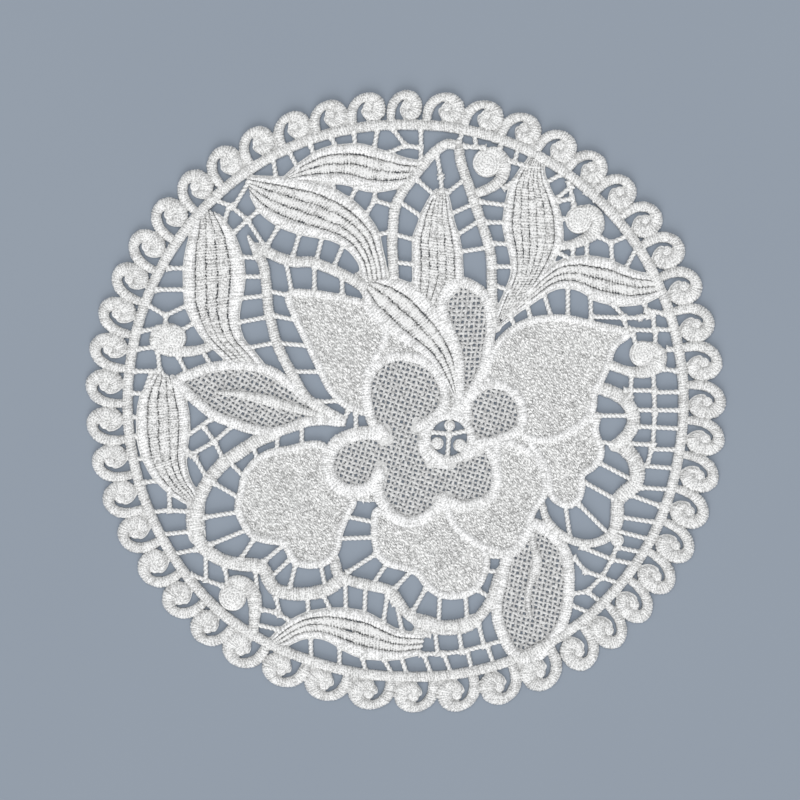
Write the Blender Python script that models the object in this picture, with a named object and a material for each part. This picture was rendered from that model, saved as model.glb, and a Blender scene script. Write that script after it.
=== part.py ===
"""Round white lace mat, machine embroidered in one piece, lying flat.

Leaves, petals, cords, scrolls and short joining bars are drawn as strokes and closed outlines in
millimetres.  Their union is one sheet with a flat underside; the openings between them go through.
X points right, Y away from the viewer's side, Z up.  The origin is under the middle of the mat.
"""
import math

import bpy
import numpy as np
from mathutils import Vector
from mathutils.geometry import delaunay_2d_cdt

MM = 0.001                  # all tables are in millimetres

EDGE_HEIGHT = 1.0           # thickness at every cut edge and on the bars
FILL_HEIGHT = 1.25          # net and rice-stitch ground inside a petal
CORD_HEIGHT = 1.9           # top of a stuffed cord
SATIN_HEIGHT = 1.8          # top of a leaf panel
RING_HEIGHT = 2.0           # top of the rim cord
KNOB_HEIGHT = 2.2           # top of a rolled scroll end

BAR_HALF = 0.65             # half width of a joining bar
BAR_REACH = 0.8             # a bar runs this far on into the parts that it joins
SCROLL_HEAD = 2.5           # radius of the raised middle of a scroll's head
RING_HALF = 1.7             # half width of the rim cord
CELL = 0.4                  # grid on which the strokes are joined
HALF_FIELD = 109.0          # the grid reaches this far from the middle
OUTLINE_TOLERANCE = 0.24    # corners flatter than this are left out of a cut edge
GAP_LENGTH = 3.2            # shorter openings stay closed
GAP_AREA = 3.4              # smaller openings stay closed
GAP_WIDTH = 0.9             # thinner slits stay closed

SCROLL_COUNT = 48

# Edges of one scroll from its foot on the ring to its rolled end.  Outer edge: share of the pitch
# past the head, share of the way from ring to head.  Inner edge: the same two.
SCROLL_EDGES = (
    (-0.56, 0.06, -0.31, 0.06), (-0.555, 0.32, -0.30, 0.28), (-0.51, 0.58, -0.26, 0.47),
    (-0.35, 0.83, -0.17, 0.62), (-0.08, 0.98, -0.06, 0.71), (0.20, 0.975, 0.055, 0.70),
    (0.42, 0.80, 0.12, 0.62), (0.50, 0.54, 0.13, 0.55), (0.46, 0.30, 0.105, 0.49),
    (0.30, 0.15, 0.065, 0.46), (0.10, 0.125, 0.015, 0.46), (-0.085, 0.25, -0.025, 0.49),
    (-0.17, 0.41, -0.05, 0.53),
)

# Clockwise angle from the top, radius of the rim cord's centre, radius of the scroll heads.
RIM = (
    (0, 87.5, 98.6), (20, 88.3, 99.0), (40, 88.5, 99.9), (60, 88.5, 101.5), (80, 88.3, 101.4),
    (100, 88.4, 102.4), (120, 89.6, 103.8), (140, 89.8, 103.7), (160, 88.9, 101.5),
    (180, 87.6, 98.8), (200, 87.8, 98.8), (220, 89.1, 100.9), (240, 88.6, 101.1),
    (260, 88.2, 101.5), (280, 88.0, 101.7), (300, 88.2, 101.4), (320, 88.4, 100.3),
    (340, 88.2, 98.5), (360, 87.5, 98.6),
)

# Scroll number, clockwise angle of its head.
SCROLL_ANGLES = (
    (0, 0), (4, 31), (8, 60), (12, 90), (16, 118), (20, 145), (24, 178), (28, 213), (32, 243.5),
    (36, 272.5), (40, 300.5), (44, 330), (48, 360),
)

# Satin leaves: the points of one edge from base to tip, then those of the other edge.
LEAVES = {
    "left upright leaf": (
        ((-54, 10.5), (-60.5, 16.3), (-64, 19.8), (-67.3, 25), (-69.5, 30), (-70, 36), (-70, 43),
         (-69, 49), (-67.5, 54), (-65.5, 61.5)),
        ((-45, 11.5), (-49, 16.5), (-51.5, 19.5), (-53, 25), (-52.6, 30), (-51.4, 36), (-51.2, 41),
         (-52, 46), (-55, 53.5), (-60, 59.8))),
    "large upper leaf": (
        ((-6, 38), (-6.5, 43), (-7.5, 48), (-8.8, 53.5), (-12, 58.5), (-16, 62.7), (-21, 66),
         (-27, 68.6), (-38, 70.5), (-50, 71)),
        ((-13.3, 38.5), (-14.5, 43.5), (-17.5, 47.5), (-21, 50), (-25, 51.5), (-30, 52.3),
         (-36, 53.8), (-41, 56), (-46, 60), (-49.5, 66))),
    "slender top leaf": (
        ((-38, 71), (-34, 74.7), (-30, 77.5), (-26, 79.8), (-20, 80.9), (-14, 81.1), (-9.5, 79.8),
         (-5, 78.4), (0, 76.7), (6, 75.5)),
        ((-37, 70), (-33, 70), (-27, 69.6), (-22, 69.2), (-17, 68.3), (-13, 66.8), (-8, 66.6),
         (-4, 67.3), (-1, 68.3), (2, 69.5))),
    "curved inner leaf": (
        ((-9, 38.5), (-4, 38.5), (1, 37.2), (6, 33.8), (10.5, 28.5), (14, 22.5), (16.5, 16),
         (17.5, 9), (17, 2)),
        ((-13.5, 35), (-12, 30), (-9, 25.5), (-5, 21.5), (0, 18), (5, 15), (9, 11), (12.5, 6),
         (15.5, 1))),
    "middle upright leaf": (
        ((5.5, 28.5), (3.6, 32), (2.8, 37), (2.7, 42), (2.6, 47), (2.8, 52), (4.3, 56), (5.2, 59), (7.5, 63.5), (10, 67)),
        ((9.5, 28.5), (13.5, 32), (17.6, 37), (18, 42), (17.6, 47.5), (16.8, 52), (15.5, 56), (14.5, 60), (13.8, 63.8),
         (12.7, 67))),
    "tall right leaf": (
        ((28.5, 25), (30.6, 31.5), (32.7, 36.5), (34, 41), (33.5, 46), (32.2, 51), (31.3, 55.5),
         (31.7, 60), (32.6, 65), (34.2, 69.5), (36.5, 73), (39.5, 77)),
        ((34, 27), (38, 32), (42, 37), (45.5, 42.3), (48.5, 47.5), (49.8, 52), (49.4, 57),
         (48.6, 61), (47, 64.8), (45.2, 68.5), (44, 72), (43.5, 77))),
    "slender right leaf": (
        ((31, 27), (37, 33), (41, 37.2), (45, 41), (49, 44), (54, 45.3), (59, 45.5), (64, 44.7),
         (68, 43), (72, 41.1), (77, 39.8), (81, 38)),
        ((30, 23.5), (36, 28.3), (41, 31.5), (44.5, 34), (48, 35.7), (52, 36), (56, 34.8),
         (60, 32.2), (64, 31), (70, 30.3), (77, 31.5), (82, 34.5))),
    "left lower leaf": (
        ((-79, 9), (-82, 4.5), (-84.2, 0), (-84.8, -6), (-84.6, -12), (-83.2, -18), (-80.4, -23.5),
         (-77.3, -27), (-74, -29.8), (-69.5, -32.5)),
        ((-74, 8), (-71.6, 4), (-69.6, -1), (-68.7, -6), (-69, -12), (-69.8, -17), (-69.5, -21.5),
         (-68.3, -25.5), (-66.8, -28), (-66, -30.5))),
    "slender bottom leaf": (
        ((-43, -76), (-39, -72), (-35.5, -69.5), (-31, -67.4), (-25, -66.3), (-18, -66.3),
         (-12, -67.6), (-6.5, -70.7), (-1.5, -73.2), (6.5, -74.2)),
        ((-41, -78.5), (-37, -77.3), (-33, -75.5), (-29, -75), (-25, -75.8), (-21, -78),
         (-17, -80.3), (-12, -81.7), (-4, -82), (5, -80.3))),
}

# Net and rice-stitch petals: half width of the satin cord round them, then that cord's line.
PETALS = {
    "rice petal, upper left": (1.3, (
        (-36.8, 33.6), (-30, 34), (-24, 33.2), (-18, 32), (-13, 30.5), (-9.5, 26), (-6, 21.5),
        (-9, 14), (-12, 9), (-12.5, 3), (-11.5, -3.5), (-17.5, -2), (-21, 0.5), (-24.3, 4.5),
        (-27.6, 11.5), (-31.5, 19.5), (-35, 27))),
    "rice petal, right": (1.3, (
        (25.5, 8), (27.5, 14), (29.5, 18), (33.5, 22), (39, 25), (45, 26), (51, 26), (57, 24.8),
        (63, 23.3), (68.5, 22.3), (70.5, 20.9), (67.3, 18.5), (65.3, 15.5), (64.3, 11.5),
        (62.3, 7), (60, 2.5), (59.3, -3), (56, -7), (50, -11), (42, -12.5), (37, -10), (37.5, -3),
        (34.5, 3), (29, 5.3))),
    "rice petal, small right": (1.3, (
        (40, -13), (46, -12.5), (52, -10.5), (57, -7), (60.7, -5), (60.2, -9), (61, -12),
        (62, -14.5), (61.8, -18), (59.5, -21), (56, -23.5), (56, -27), (55, -31), (52, -33.2),
        (48.5, -32), (46, -29), (45.5, -24), (43.5, -19))),
    "rice petal, lower right": (1.3, (
        (29.5, -13.5), (36, -14.5), (40, -17), (43, -20), (44.3, -25), (44, -30), (41.5, -33.5),
        (39.8, -37), (39.5, -42), (37.5, -46), (33, -48), (28, -47.5), (22, -45), (17, -41),
        (14.5, -37), (13, -33), (20, -33.5), (27, -31), (29.5, -24))),
    "rice petal, bottom": (1.3, (
        (-8.7, -35), (-9.7, -40), (-9.4, -45), (-8.3, -49), (-5, -51.7), (0, -53), (4, -54.7),
        (7.5, -59), (12, -61.7), (18, -61.7), (22.3, -59.5), (24.9, -55), (25.8, -50),
        (24, -46), (18, -42), (14.5, -38), (12.5, -33), (5, -38), (-2, -38))),
    "rice petal, left": (1.3, (
        (-26, -14.5), (-31, -14.1), (-36, -15.3), (-42.3, -16.5), (-47, -19), (-50.7, -23.5),
        (-52, -29), (-53, -34), (-51.2, -39), (-48, -43), (-43, -44.4), (-39, -45), (-37, -47.5),
        (-35, -51), (-30, -52.2), (-25, -51), (-22, -47.5), (-20.8, -42), (-18.7, -36.5),
        (-16.5, -31.5), (-21, -27), (-24.5, -20))),
    "net petal, middle": (1.4, (
        (0, 14), (-4, 13.8), (-8, 12), (-11.3, 8), (-12.3, 3), (-11.5, -3), (-9, -8.5),
        (0, -10), (10, -4.5), (12.6, 0), (12, 5), (9.5, 9.5), (5, 12.8))),
    "net petal, teardrop": (1.5, (
        (17, 37.6), (12.6, 34.5), (11.6, 30), (13, 25), (15, 20), (16.8, 14), (17.2, 6),
        (17, 0), (16, -4), (19.5, 0), (21, 3), (23.5, 7), (25.5, 12), (26.5, 18), (27.2, 24),
        (26.8, 29), (25, 33.5), (21, 36.6))),
    "net petal, round": (1.4, (
        (19.5, -2), (22, 2.5), (25.5, 5), (30, 5), (34.7, 2.5), (37, -2), (36.7, -8), (33, -11),
        (28.5, -12.5), (24, -14), (20.5, -9))),
    "net petal, lower right": (1.6, (
        (24, -13.5), (27, -16), (28.7, -20), (29, -26), (26.7, -31), (20, -33.5), (15, -32.5),
        (11.5, -29.5), (8, -20), (16, -20))),
    "net petal, bottom": (1.7, (
        (-8.5, -29), (-6, -34), (-1.5, -38), (4, -38.2), (8.5, -35.5), (11.5, -31), (8, -21),
        (-7.5, -22))),
    "net petal, left": (2.0, (
        (-10, -10.3), (-16, -10.8), (-21.5, -13.2), (-24.2, -18), (-24.2, -23), (-21, -27.5),
        (-15.5, -28.7), (-10.5, -27), (-7, -20), (-6, -12))),
    "net ground, middle": (1.5, (
        (-6, -9), (2, -6), (6, -10), (6, -16), (12, -20), (22, -16), (26, -24), (14, -30),
        (0, -34), (-8, -26))),
    "net leaf, left": (1.4, (
        (-72, 6.5), (-68, 8.3), (-62, 10.5), (-55, 11.2), (-48, 10.8), (-42, 9), (-36.5, 5),
        (-31, 0.5), (-25, -3.5), (-20, -6.5), (-26, -6.2), (-31, -6.7), (-36, -8.4),
        (-42, -10), (-48, -9.2), (-54, -7.3), (-60, -5), (-65, -1.3), (-69.5, 3))),
    "net leaf, lower right": (1.6, (
        (40.5, -39.5), (44, -40.6), (48, -44), (51, -48.5), (52, -55), (51.8, -61), (51, -67),
        (49.3, -72), (46, -77), (41.5, -81.5), (37, -81.8), (34, -79.7), (31.7, -76),
        (29.8, -71), (29, -66), (29.7, -61), (31, -56), (32.3, -50), (36, -46))),
}

# Plain stitched ground that joins petals and leaves where they meet.
GROUNDS = {
    "between the leaves' feet": ((-16, 40), (-11, 41), (-6, 40), (-8, 35), (-13, 33)),
    "above the middle net petal": ((-13, 9), (-8, 21), (1, 18.5), (7, 13), (4, 11), (-6, 11)),
    "over the teardrop petal": ((4, 35), (10, 40), (17, 40), (14, 32), (12, 27), (8, 30)),
    "over the eyelet": ((11, -4), (14, 4), (20, 4), (19, -4)),
    "between the right petals": ((31, -9), (42, -10), (43, -16), (31, -16)),
    "under the left net petal": ((-16.5, -30.7), (-12, -32.2), (-8.5, -31), (-9, -25), (-15, -27)),
    "beside the bottom leaf": ((2.5, -73), (5.5, -75.8), (7, -73.5), (4.5, -71.5)),
}

# Stuffed cords: half width, then the line they follow.
CORDS = {
    "arch, left branch": (1.7, (
        (-3.5, 38), (-3.8, 44), (-4.1, 50), (-3.8, 56), (-3.2, 61), (-1, 66), (2.3, 70.5),
        (5.5, 74.5), (9, 78.5), (13, 81.3), (16.5, 81))),
    "arch, right branch": (1.7, (
        (17, 80.5), (17.6, 76), (19, 71.5), (20.3, 68), (21.6, 64), (23, 60), (24.7, 55),
        (26.3, 50), (27.3, 45), (27.4, 40), (27.6, 34), (28, 28), (29, 23))),
    "spoke to the left petals": (1.7, (
        (-49.5, 51), (-47, 47), (-45, 43), (-44.2, 38), (-43.8, 34), (-43.4, 29), (-42.3, 24),
        (-41, 19), (-38.9, 14), (-36.5, 9.5), (-34.2, 5.5), (-31.8, 1.5), (-28.5, -1.5),
        (-24.5, -3.8), (-21, -5.5))),
    "cord round the upper petal": (1.8, (
        (-49.3, 51), (-47, 49), (-43, 46.8), (-39.5, 45.2), (-35, 44), (-30, 44), (-26, 42.7),
        (-21, 40.6), (-16, 37.9), (-12.5, 35.5))),
    "scallops round the left petal": (2.2, (
        (-41, -10.3), (-46, -12.2), (-50, -14.6), (-53.5, -17), (-57, -19.3), (-60, -22.3),
        (-62.5, -25.5), (-64.8, -30), (-66.3, -36), (-66, -42), (-64.5, -46), (-61, -49),
        (-57, -51), (-52, -52), (-47, -52.3), (-44.5, -54), (-43.3, -57), (-41, -60),
        (-36, -61.3), (-31, -61.3), (-27, -60.6), (-23.7, -59.3), (-20, -56.3))),
    "scallops, wide side": (3.1, ((-66.3, -33), (-66.6, -38), (-66, -43))),
    "scallops round the bottom petal": (1.8, (
        (-20.5, -49), (-20, -55), (-17.5, -57), (-13, -58.3), (-8, -59.3), (-4.3, -60.7),
        (-1.8, -64.3), (0.8, -67.7), (4.5, -70), (9, -71.3), (12, -72), (18, -71.5),
        (22, -70), (25, -66.8), (27.3, -63.3), (28.7, -59), (30.3, -54))),
    "scallops, thick bottom": (2.5, ((4, -69.7), (9, -71.3), (12, -72.1), (18, -71.6),
                                     (22, -69.8))),
    "scallops round the small petal, first": (2.2, (
        (61.5, 4), (66, 2.5), (69.7, 0), (72, -3.5), (72.3, -7.5), (70.5, -11), (68.3, -13.2),
        (66.5, -14.4))),
    "scallops round the small petal, second": (2.5, (
        (68.3, -14.4), (71, -16.5), (73, -19.5), (73.7, -23.5), (72.5, -27), (69.5, -29.4),
        (67.5, -31.5))),
    "scallops round the small petal, third": (2.2, (
        (67.3, -31.5), (67.2, -35), (67.2, -39), (66, -42.3))),
    "scallops round the small petal, end": (1.4, (
        (66, -42.5), (62.5, -44.6), (58, -45.4), (53.5, -44.6), (49.5, -42.5), (45.5, -39.8),
        (43, -36))),
}

# Veins of the net leaves: x, y and half width along each.
VEINS = {
    "left net leaf": (
        (-60, 2.6, 0.6), (-54, 2.2, 1.1), (-48, 1.0, 1.6), (-42.5, -0.3, 1.8), (-36, -2.2, 1.5),
        (-30, -3.9, 1.2), (-24, -5.2, 1.0)),
    "lower net leaf": (
        (40.3, -41.5, 0.8), (40.7, -45.8, 1.1), (41.9, -51.3, 1.7), (40.6, -55.5, 1.5),
        (39.3, -59.5, 1.1), (38.9, -64.2, 0.9), (39.8, -69, 0.7)),
}

# Curls, broad round their heads: x, y and half width from the foot to the end on the head.
CURLS = {
    "on the arch": (
        (22, 65.5, 1.6), (26.3, 67.2, 1.7), (29.6, 69.4, 1.9), (31.2, 72.6, 2.2),
        (31, 76.3, 2.2), (28.8, 79, 1.6), (25.8, 79.8, 0.7)),
    "by the tall leaf": (
        (48.5, 49, 1.6), (53, 49.6, 1.5), (57.2, 51.3, 1.9), (60.2, 54, 2.5), (60.8, 57.3, 2.6),
        (58.8, 60, 2.2), (55.5, 61, 1.3)),
    "on the right petal": (
        (63.5, 12, 1.7), (68, 10.2, 1.5), (72, 9.1, 1.7), (76.3, 9.3, 2.2), (79.8, 11.2, 2.5),
        (80.9, 14.3, 2.3), (79, 17, 1.6), (76, 18, 0.8)),
    "at the left": (
        (-60.5, 18.3, 1.6), (-63.5, 16.6, 1.6), (-67.5, 15.7, 1.7), (-72, 15.6, 1.9),
        (-76.3, 16.6, 2.3), (-78.8, 19, 2.5), (-77.8, 21.8, 2.2), (-75, 23.2, 1.5),
        (-72, 23.3, 0.8)),
    "at the lower left": (
        (-48.2, -75, 1.6), (-47.9, -70, 1.8), (-47.6, -65.5, 2.1), (-48.2, -61.5, 2.5),
        (-50.6, -58.4, 2.3), (-54, -57, 1.7), (-57, -58.2, 0.9)),
}

# Rolled ends and knobs: x, y, radius.
KNOBS = (
    (26, 75.4, 4.3), (55.2, 57.3, 4.1), (75.3, 14.8, 3.9), (67.3, -44.3, 1.8),
    (-73.6, 19.9, 3.9), (-54.8, -62.4, 4.1), (-49.3, 51, 1.6),
    (10.2, -13.6, 1.7), (17.3, -14.2, 1.8), (14.1, -7.9, 1.5),
)

EYELET = (13.9, -11.8, 7.1, 1.45)      # x, y, radius of the cord's line, half width of the cord
EYELET_SPOKES = ((14, -10.7, 14, -5), (14, -10.6, 7.5, -10), (14, -10.8, 20.3, -9.4),
                 (13.9, -11, 13.4, -18))

# Joining bars between two solid parts: x and y of one end, x and y of the other.
BARS = {
    "left of the large upper leaf": (
        (-61, 64, -55, 61.5), (-55, 61.5, -50, 57.3), (-50, 57.3, -44.8, 49.2),
        (-57.3, 57, -55.8, 61.8), (-49.6, 69.3, -54.5, 61.4), (-46.5, 60.3, -50, 57.3),
        (-54.3, 53.3, -50, 57.3)),
    "below the top of the rim": (
        (-42, 77.5, -41, 71), (-36.8, 79, -34, 73.5), (-30, 81, -29, 78), (-23.5, 83.5, -22, 80.5),
        (-16.3, 85, -15.8, 80.5), (-8.8, 86, -9.8, 80), (-3.8, 86, 0, 81), (-5.5, 78.5, 0, 80.9),
        (0, 80.9, 5, 80.2), (5, 86, 5, 76)),
    "between the upper leaves": (
        (-22.8, 70, -22.8, 66.5), (-15.5, 67.5, -17.5, 63.5), (-9.5, 67, -9.7, 63.5),
        (-12.5, 59, -9.7, 63.5), (-9.7, 63.5, -4, 61.8), (-9.5, 52.5, -4.5, 53.5)),
    "left of the middle leaf": (
        (-3.5, 52.8, 3, 51), (-3.5, 43.9, 3, 43.2), (-2, 63.3, 5.2, 58.3), (3.8, 70, 9.5, 65)),
    "over the middle leaf": (
        (10, 78.5, 11.3, 71), (11.3, 71, 11.6, 66.5), (13.5, 66, 19, 70.3), (14.5, 59.2, 22, 62.6),
        (16.5, 52.6, 24, 57.3), (17.5, 47.2, 26, 48.5)),
    "round the arch curl": (
        (17, 82, 18.5, 86), (22, 84.5, 22.5, 80.5), (19, 80.6, 25, 80.2), (30, 80, 31, 83),
        (34.7, 75.6, 36, 81), (33, 76, 38, 74.5), (31.5, 67.5, 35, 70)),
    "left of the tall leaf": (
        (24, 63, 32.5, 61.9), (26, 56.5, 31.5, 56.5), (28, 49.8, 33, 49.7),
        (28.5, 42.5, 34.5, 42.5), (28.5, 36.5, 33, 35)),
    "right of the tall leaf": (
        (44.5, 69, 49.5, 71.8), (48, 64, 52.5, 67.8), (52, 69, 53.5, 62), (48.5, 63.2, 53, 64.1),
        (57.5, 66, 60, 64), (49.5, 57.7, 53, 57.5)),
    "over the slender right leaf": (
        (47.5, 47.5, 53, 44.5), (53.2, 48.5, 53.2, 44.8), (57.5, 50, 57.8, 45),
        (61.5, 52, 65.3, 50), (65.3, 50, 65.7, 44), (65.3, 50, 70.5, 52.3),
        (73.5, 48.5, 70, 42), (75.5, 48, 77.5, 40)),
    "under the slender right leaf": (
        (44, 34, 46.3, 26.5), (38.6, 31, 39.8, 26), (33.2, 27.2, 35, 23),
        (51.6, 36, 51.6, 26.5), (58.8, 33, 59, 25.5), (66, 30.5, 69.5, 26.5), (59, 26.6, 69.5, 26.3),
        (69, 26.5, 70.5, 22.5), (75.8, 31, 77.3, 26.6), (69.5, 26.2, 74.5, 26.3),
        (76.5, 28.7, 82, 27.6), (74.5, 26.3, 78.5, 27.5)),
    "round the right curl": (
        (78.6, 28, 79, 22.5), (71.7, 22.5, 79.5, 22.2), (79.5, 22.6, 85, 22.4), (79.4, 22, 79.3, 17.5),
        (72.3, 21, 73.5, 16.5), (83.5, 16.3, 86, 16), (82, 10, 86, 9.4), (78.7, 9.5, 79, 3),
        (71.8, 8, 71.5, 1.5)),
    "square lattice at the right": (
        (70, 3.2, 79, 3.2), (79, 2.6, 87, 2.7), (79, 3, 79.2, -4), (79.2, -4, 78.6, -14),
        (78.6, -14, 76.8, -20.5), (73, -3, 87, -3.1), (74, -8.2, 87, -8.9),
        (71.5, -13.7, 78, -14), (78, -15.4, 86, -15.6), (75, -20.6, 85, -21.5),
        (75, -27.6, 83.5, -28.2), (71.5, -30, 80.5, -33.3), (68.5, -37, 79, -38.6),
        (66.5, -41.2, 77, -43.9), (67.5, -46.6, 75, -48.2)),
    "inside the right scallops": (
        (61.5, -4.8, 71, -4.8), (61, -12.9, 66.5, -13.9), (61.5, -19.7, 72, -25.2),
        (56.5, -25.7, 66.5, -31.3)),
    "across the right hollow": (
        (55.2, -33, 65, -42.8), (50.8, -33, 52.3, -43.5)),
    "right of the lower net leaf": (
        (56, -46.5, 65.6, -50.4), (65.6, -50.4, 72, -51.8), (67.4, -45.5, 65.6, -50.4),
        (65.6, -50.4, 62.4, -56), (62.4, -56, 57.8, -60.6), (53, -61.3, 57.8, -60.6),
        (57.8, -60.6, 62.5, -64.3), (53.7, -50, 57.2, -54.2), (57.2, -54.2, 62.4, -56),
        (62.4, -56, 67.5, -58), (52.5, -64.8, 59, -67.6)),
    "left of the lower net leaf": (
        (25.5, -54, 31, -54.4), (26, -49.4, 32, -49.6), (23, -60, 27.3, -62.8),
        (19.1, -61, 19.6, -69), (11, -61.5, 10.6, -70.5), (6.6, -59.5, 2.6, -66.5)),
    "bottom right, inner row": (
        (9.3, -72, 10.3, -80.3), (17, -73, 18, -79.6), (23.3, -71, 25, -77.8),
        (28.8, -67.5, 30.5, -76)),
    "bottom right, rail": (
        (5, -80.4, 12, -80.3), (12, -80.3, 18, -79.6), (18, -79.6, 25, -77.8),
        (25, -77.8, 32, -75.8)),
    "bottom right, outer row": (
        (-1.3, -81, 0.5, -87), (6, -80.8, 8.3, -87), (12.3, -80.5, 14.7, -87),
        (19.7, -79.5, 21.3, -86), (26, -77.8, 28.4, -84.5)),
    "bottom left, outer row": (
        (-6.8, -82, -4, -87), (-13.6, -81.5, -12.5, -86), (-20.8, -78, -20.9, -85),
        (-30, -75, -29.8, -82)),
    "over the bottom leaf": (
        (-45.5, -66.3, -41, -67.2), (-41, -67.2, -36, -70.2), (-41, -62.5, -39.7, -68),
        (-31, -62, -30.7, -68), (-26, -61.8, -23.3, -67), (-19, -57.5, -18.8, -67),
        (-12.6, -59, -12.9, -68), (-5.6, -61.5, -6.9, -70), (-2.7, -64.5, -1, -73),
        (-47.5, -71, -40.5, -72.6), (-5, -62, -3.6, -64.3), (3.5, -73.5, 7.5, -74.3)),
    "round the left petal": (
        (-32.8, -7.5, -32.8, -14.5), (-40.5, -10, -40.7, -16), (-48.2, -14.5, -46.8, -19),
        (-55.8, -19.5, -51, -24.2), (-60.5, -26.3, -53, -30.7), (-63.5, -37, -52.5, -35.3),
        (-61.5, -45.6, -50, -40.9), (-52, -50, -48, -44), (-44.5, -50.8, -37.3, -44.8),
        (-42.5, -56, -36.7, -50.5), (-36.5, -59, -34.8, -52), (-26.8, -52, -25.3, -59.5)),
    "between the bottom petals": (
        (-18.5, -36.8, -9.5, -38.7), (-21, -43.8, -10, -43.4), (-18, -54.3, -9.5, -48.8),
        (-10.3, -58.3, -5.7, -51.5), (-3, -59.3, 2.2, -53.8)),
    "lattice at the left": (
        (-69.8, -11.6, -61.8, -6), (-68, -17.2, -60.5, -13), (-60.5, -13, -54.8, -8),
        (-63.8, -8.5, -60.5, -13), (-60.5, -13, -58, -18), (-70, -15, -66.7, -18),
        (-66.7, -18, -63, -24.5)),
    "along the left lower leaf": (
        (-87, 2.3, -82, 2.3), (-87, -5.3, -83, -5.3), (-87, -11.3, -83, -11.3),
        (-86, -18.6, -82, -18.3), (-83, -26, -78, -25.4)),
    "lower left, along the rim": (
        (-80.3, -35.5, -74.8, -34.7), (-75, -28, -74.6, -35), (-74.8, -34.8, -68.5, -35.3),
        (-77, -42.5, -68.5, -41.6), (-73.5, -48.7, -66.5, -47.3), (-63.3, -48.5, -63.2, -57),
        (-67.5, -55.5, -58, -58.8), (-57.3, -53, -56.3, -57.5), (-47.5, -54, -46.9, -61.5)),
    "upper left, along the rim": (
        (-75, 42, -69.5, 42), (-78.5, 35.2, -69.5, 35.2), (-81.5, 30.2, -76, 27),
        (-76, 27, -69, 30.3), (-76, 27, -76, 24), (-84, 22, -79, 22.8), (-85, 16.3, -79.5, 17),
        (-71, 22.2, -66.5, 25), (-78.5, 15.5, -77.9, 9.7), (-77.9, 9.7, -74, 5),
        (-86, 9.3, -78.5, 9.3), (-80.5, 9, -83, 2), (-72, 14, -69.5, 9), (-64.5, 16, -61.5, 11)),
    "between the left leaf and the spoke": (
        (-52, 45.6, -47, 45.3), (-51.5, 39.3, -44.5, 39.3), (-52.5, 32.4, -44, 33.3),
        (-53, 24.8, -43, 26.6), (-50, 16.7, -41.5, 18.3)),
    "between the spoke and the upper petal": (
        (-43.5, 34.8, -37, 33.4), (-41.5, 26.9, -34.5, 25.5), (-40, 18.2, -31, 17.4),
        (-35.5, 9.2, -26.8, 9.1), (-37.7, 43.5, -36, 34.5), (-28.8, 42.5, -28.8, 35),
        (-20, 39, -20, 34)),
    "under the large upper leaf": (
        (-40.3, 55, -43.6, 49.5), (-33.5, 53, -35.6, 46), (-26.3, 52, -28.2, 44.5),
        (-19.6, 49.5, -22.6, 42.5)),
    "below the upper left petal": (
        (-27, -0.5, -21, 0), (-18, -3, -19.8, -7), (-15.7, -4, -15.6, -9)),
}


def spline(points, step):
    """Smooth curve through open points, sampled about every step; extra columns ride along."""
    knots = np.asarray(points, dtype=float)
    if len(knots) == 2:
        knots = np.vstack([knots[0], knots.mean(axis=0), knots[1]])
    padded = np.vstack([2 * knots[0] - knots[1], knots, 2 * knots[-1] - knots[-2]])
    pieces = []
    for i in range(len(knots) - 1):
        before, start, end, after = padded[i:i + 4]
        count = max(1, int(round(np.hypot(*(end - start)[:2]) / step)))
        t = (np.arange(count) / count)[:, None]
        pieces.append(start + 0.5 * t * (end - before
                      + t * (2 * before - 5 * start + 4 * end - after
                             + t * (3 * start - before - 3 * end + after))))
    return np.vstack(pieces + [knots[-1:]])


def closed_spline(points, step):
    """Smooth closed curve through the points; the first sample is not repeated at the end."""
    knots = np.asarray(points, dtype=float)
    around = np.vstack([knots[-2:], knots, knots[:3]])
    full = spline(around, step)
    first = np.argmin(np.hypot(*(full[:len(full) // 2] - knots[0]).T))
    last = len(full) - 1 - np.argmin(np.hypot(*(full[::-1][:len(full) // 2] - knots[0]).T))
    return full[first:last]


def on_rim(clockwise_degrees, radius):
    """Point at a clockwise angle from the top and a radius."""
    angle = math.radians(clockwise_degrees)
    return radius * math.sin(angle), radius * math.cos(angle)


def rim_value(clockwise_degrees, column):
    """Rim table read between its rows."""
    table = np.asarray(RIM, dtype=float)
    return float(np.interp(clockwise_degrees % 360.0, table[:, 0], table[:, column]))


def strokes_of_rim():
    """Ring and its scrolls: a list of (path with half widths, height)."""
    ring = [(*on_rim(a, rim_value(a, 1)), RING_HALF) for a in range(0, 361, 4)]
    strokes = [(np.array(ring), RING_HEIGHT)]
    numbers, angles = np.asarray(SCROLL_ANGLES, dtype=float).T
    for k in range(SCROLL_COUNT):
        a = float(np.interp(k, numbers, angles))
        pitch = float(np.interp(k + 0.5, numbers, angles) - np.interp(k - 0.5, numbers, angles))
        pitch = max(pitch, 6.7)
        inner = rim_value(a, 1)
        rise = rim_value(a, 2) - inner
        rows = [(*on_rim(a + s * pitch, inner + t * rise), *on_rim(a + u * pitch, inner + v * rise))
                for s, t, u, v in SCROLL_EDGES]
        edges = spline(rows, 1.6)
        half = np.hypot(*(edges[:, :2] - edges[:, 2:]).T) / 2
        middle = (edges[:, :2] + edges[:, 2:]) / 2
        strokes.append((np.column_stack([middle, half]), CORD_HEIGHT))
        x, y = on_rim(a + 0.04 * pitch, inner + 0.55 * rise)
        strokes.append((np.array([(x, y, SCROLL_HEAD), (x, y + 0.01, SCROLL_HEAD)]), KNOB_HEIGHT))
    return strokes


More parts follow.
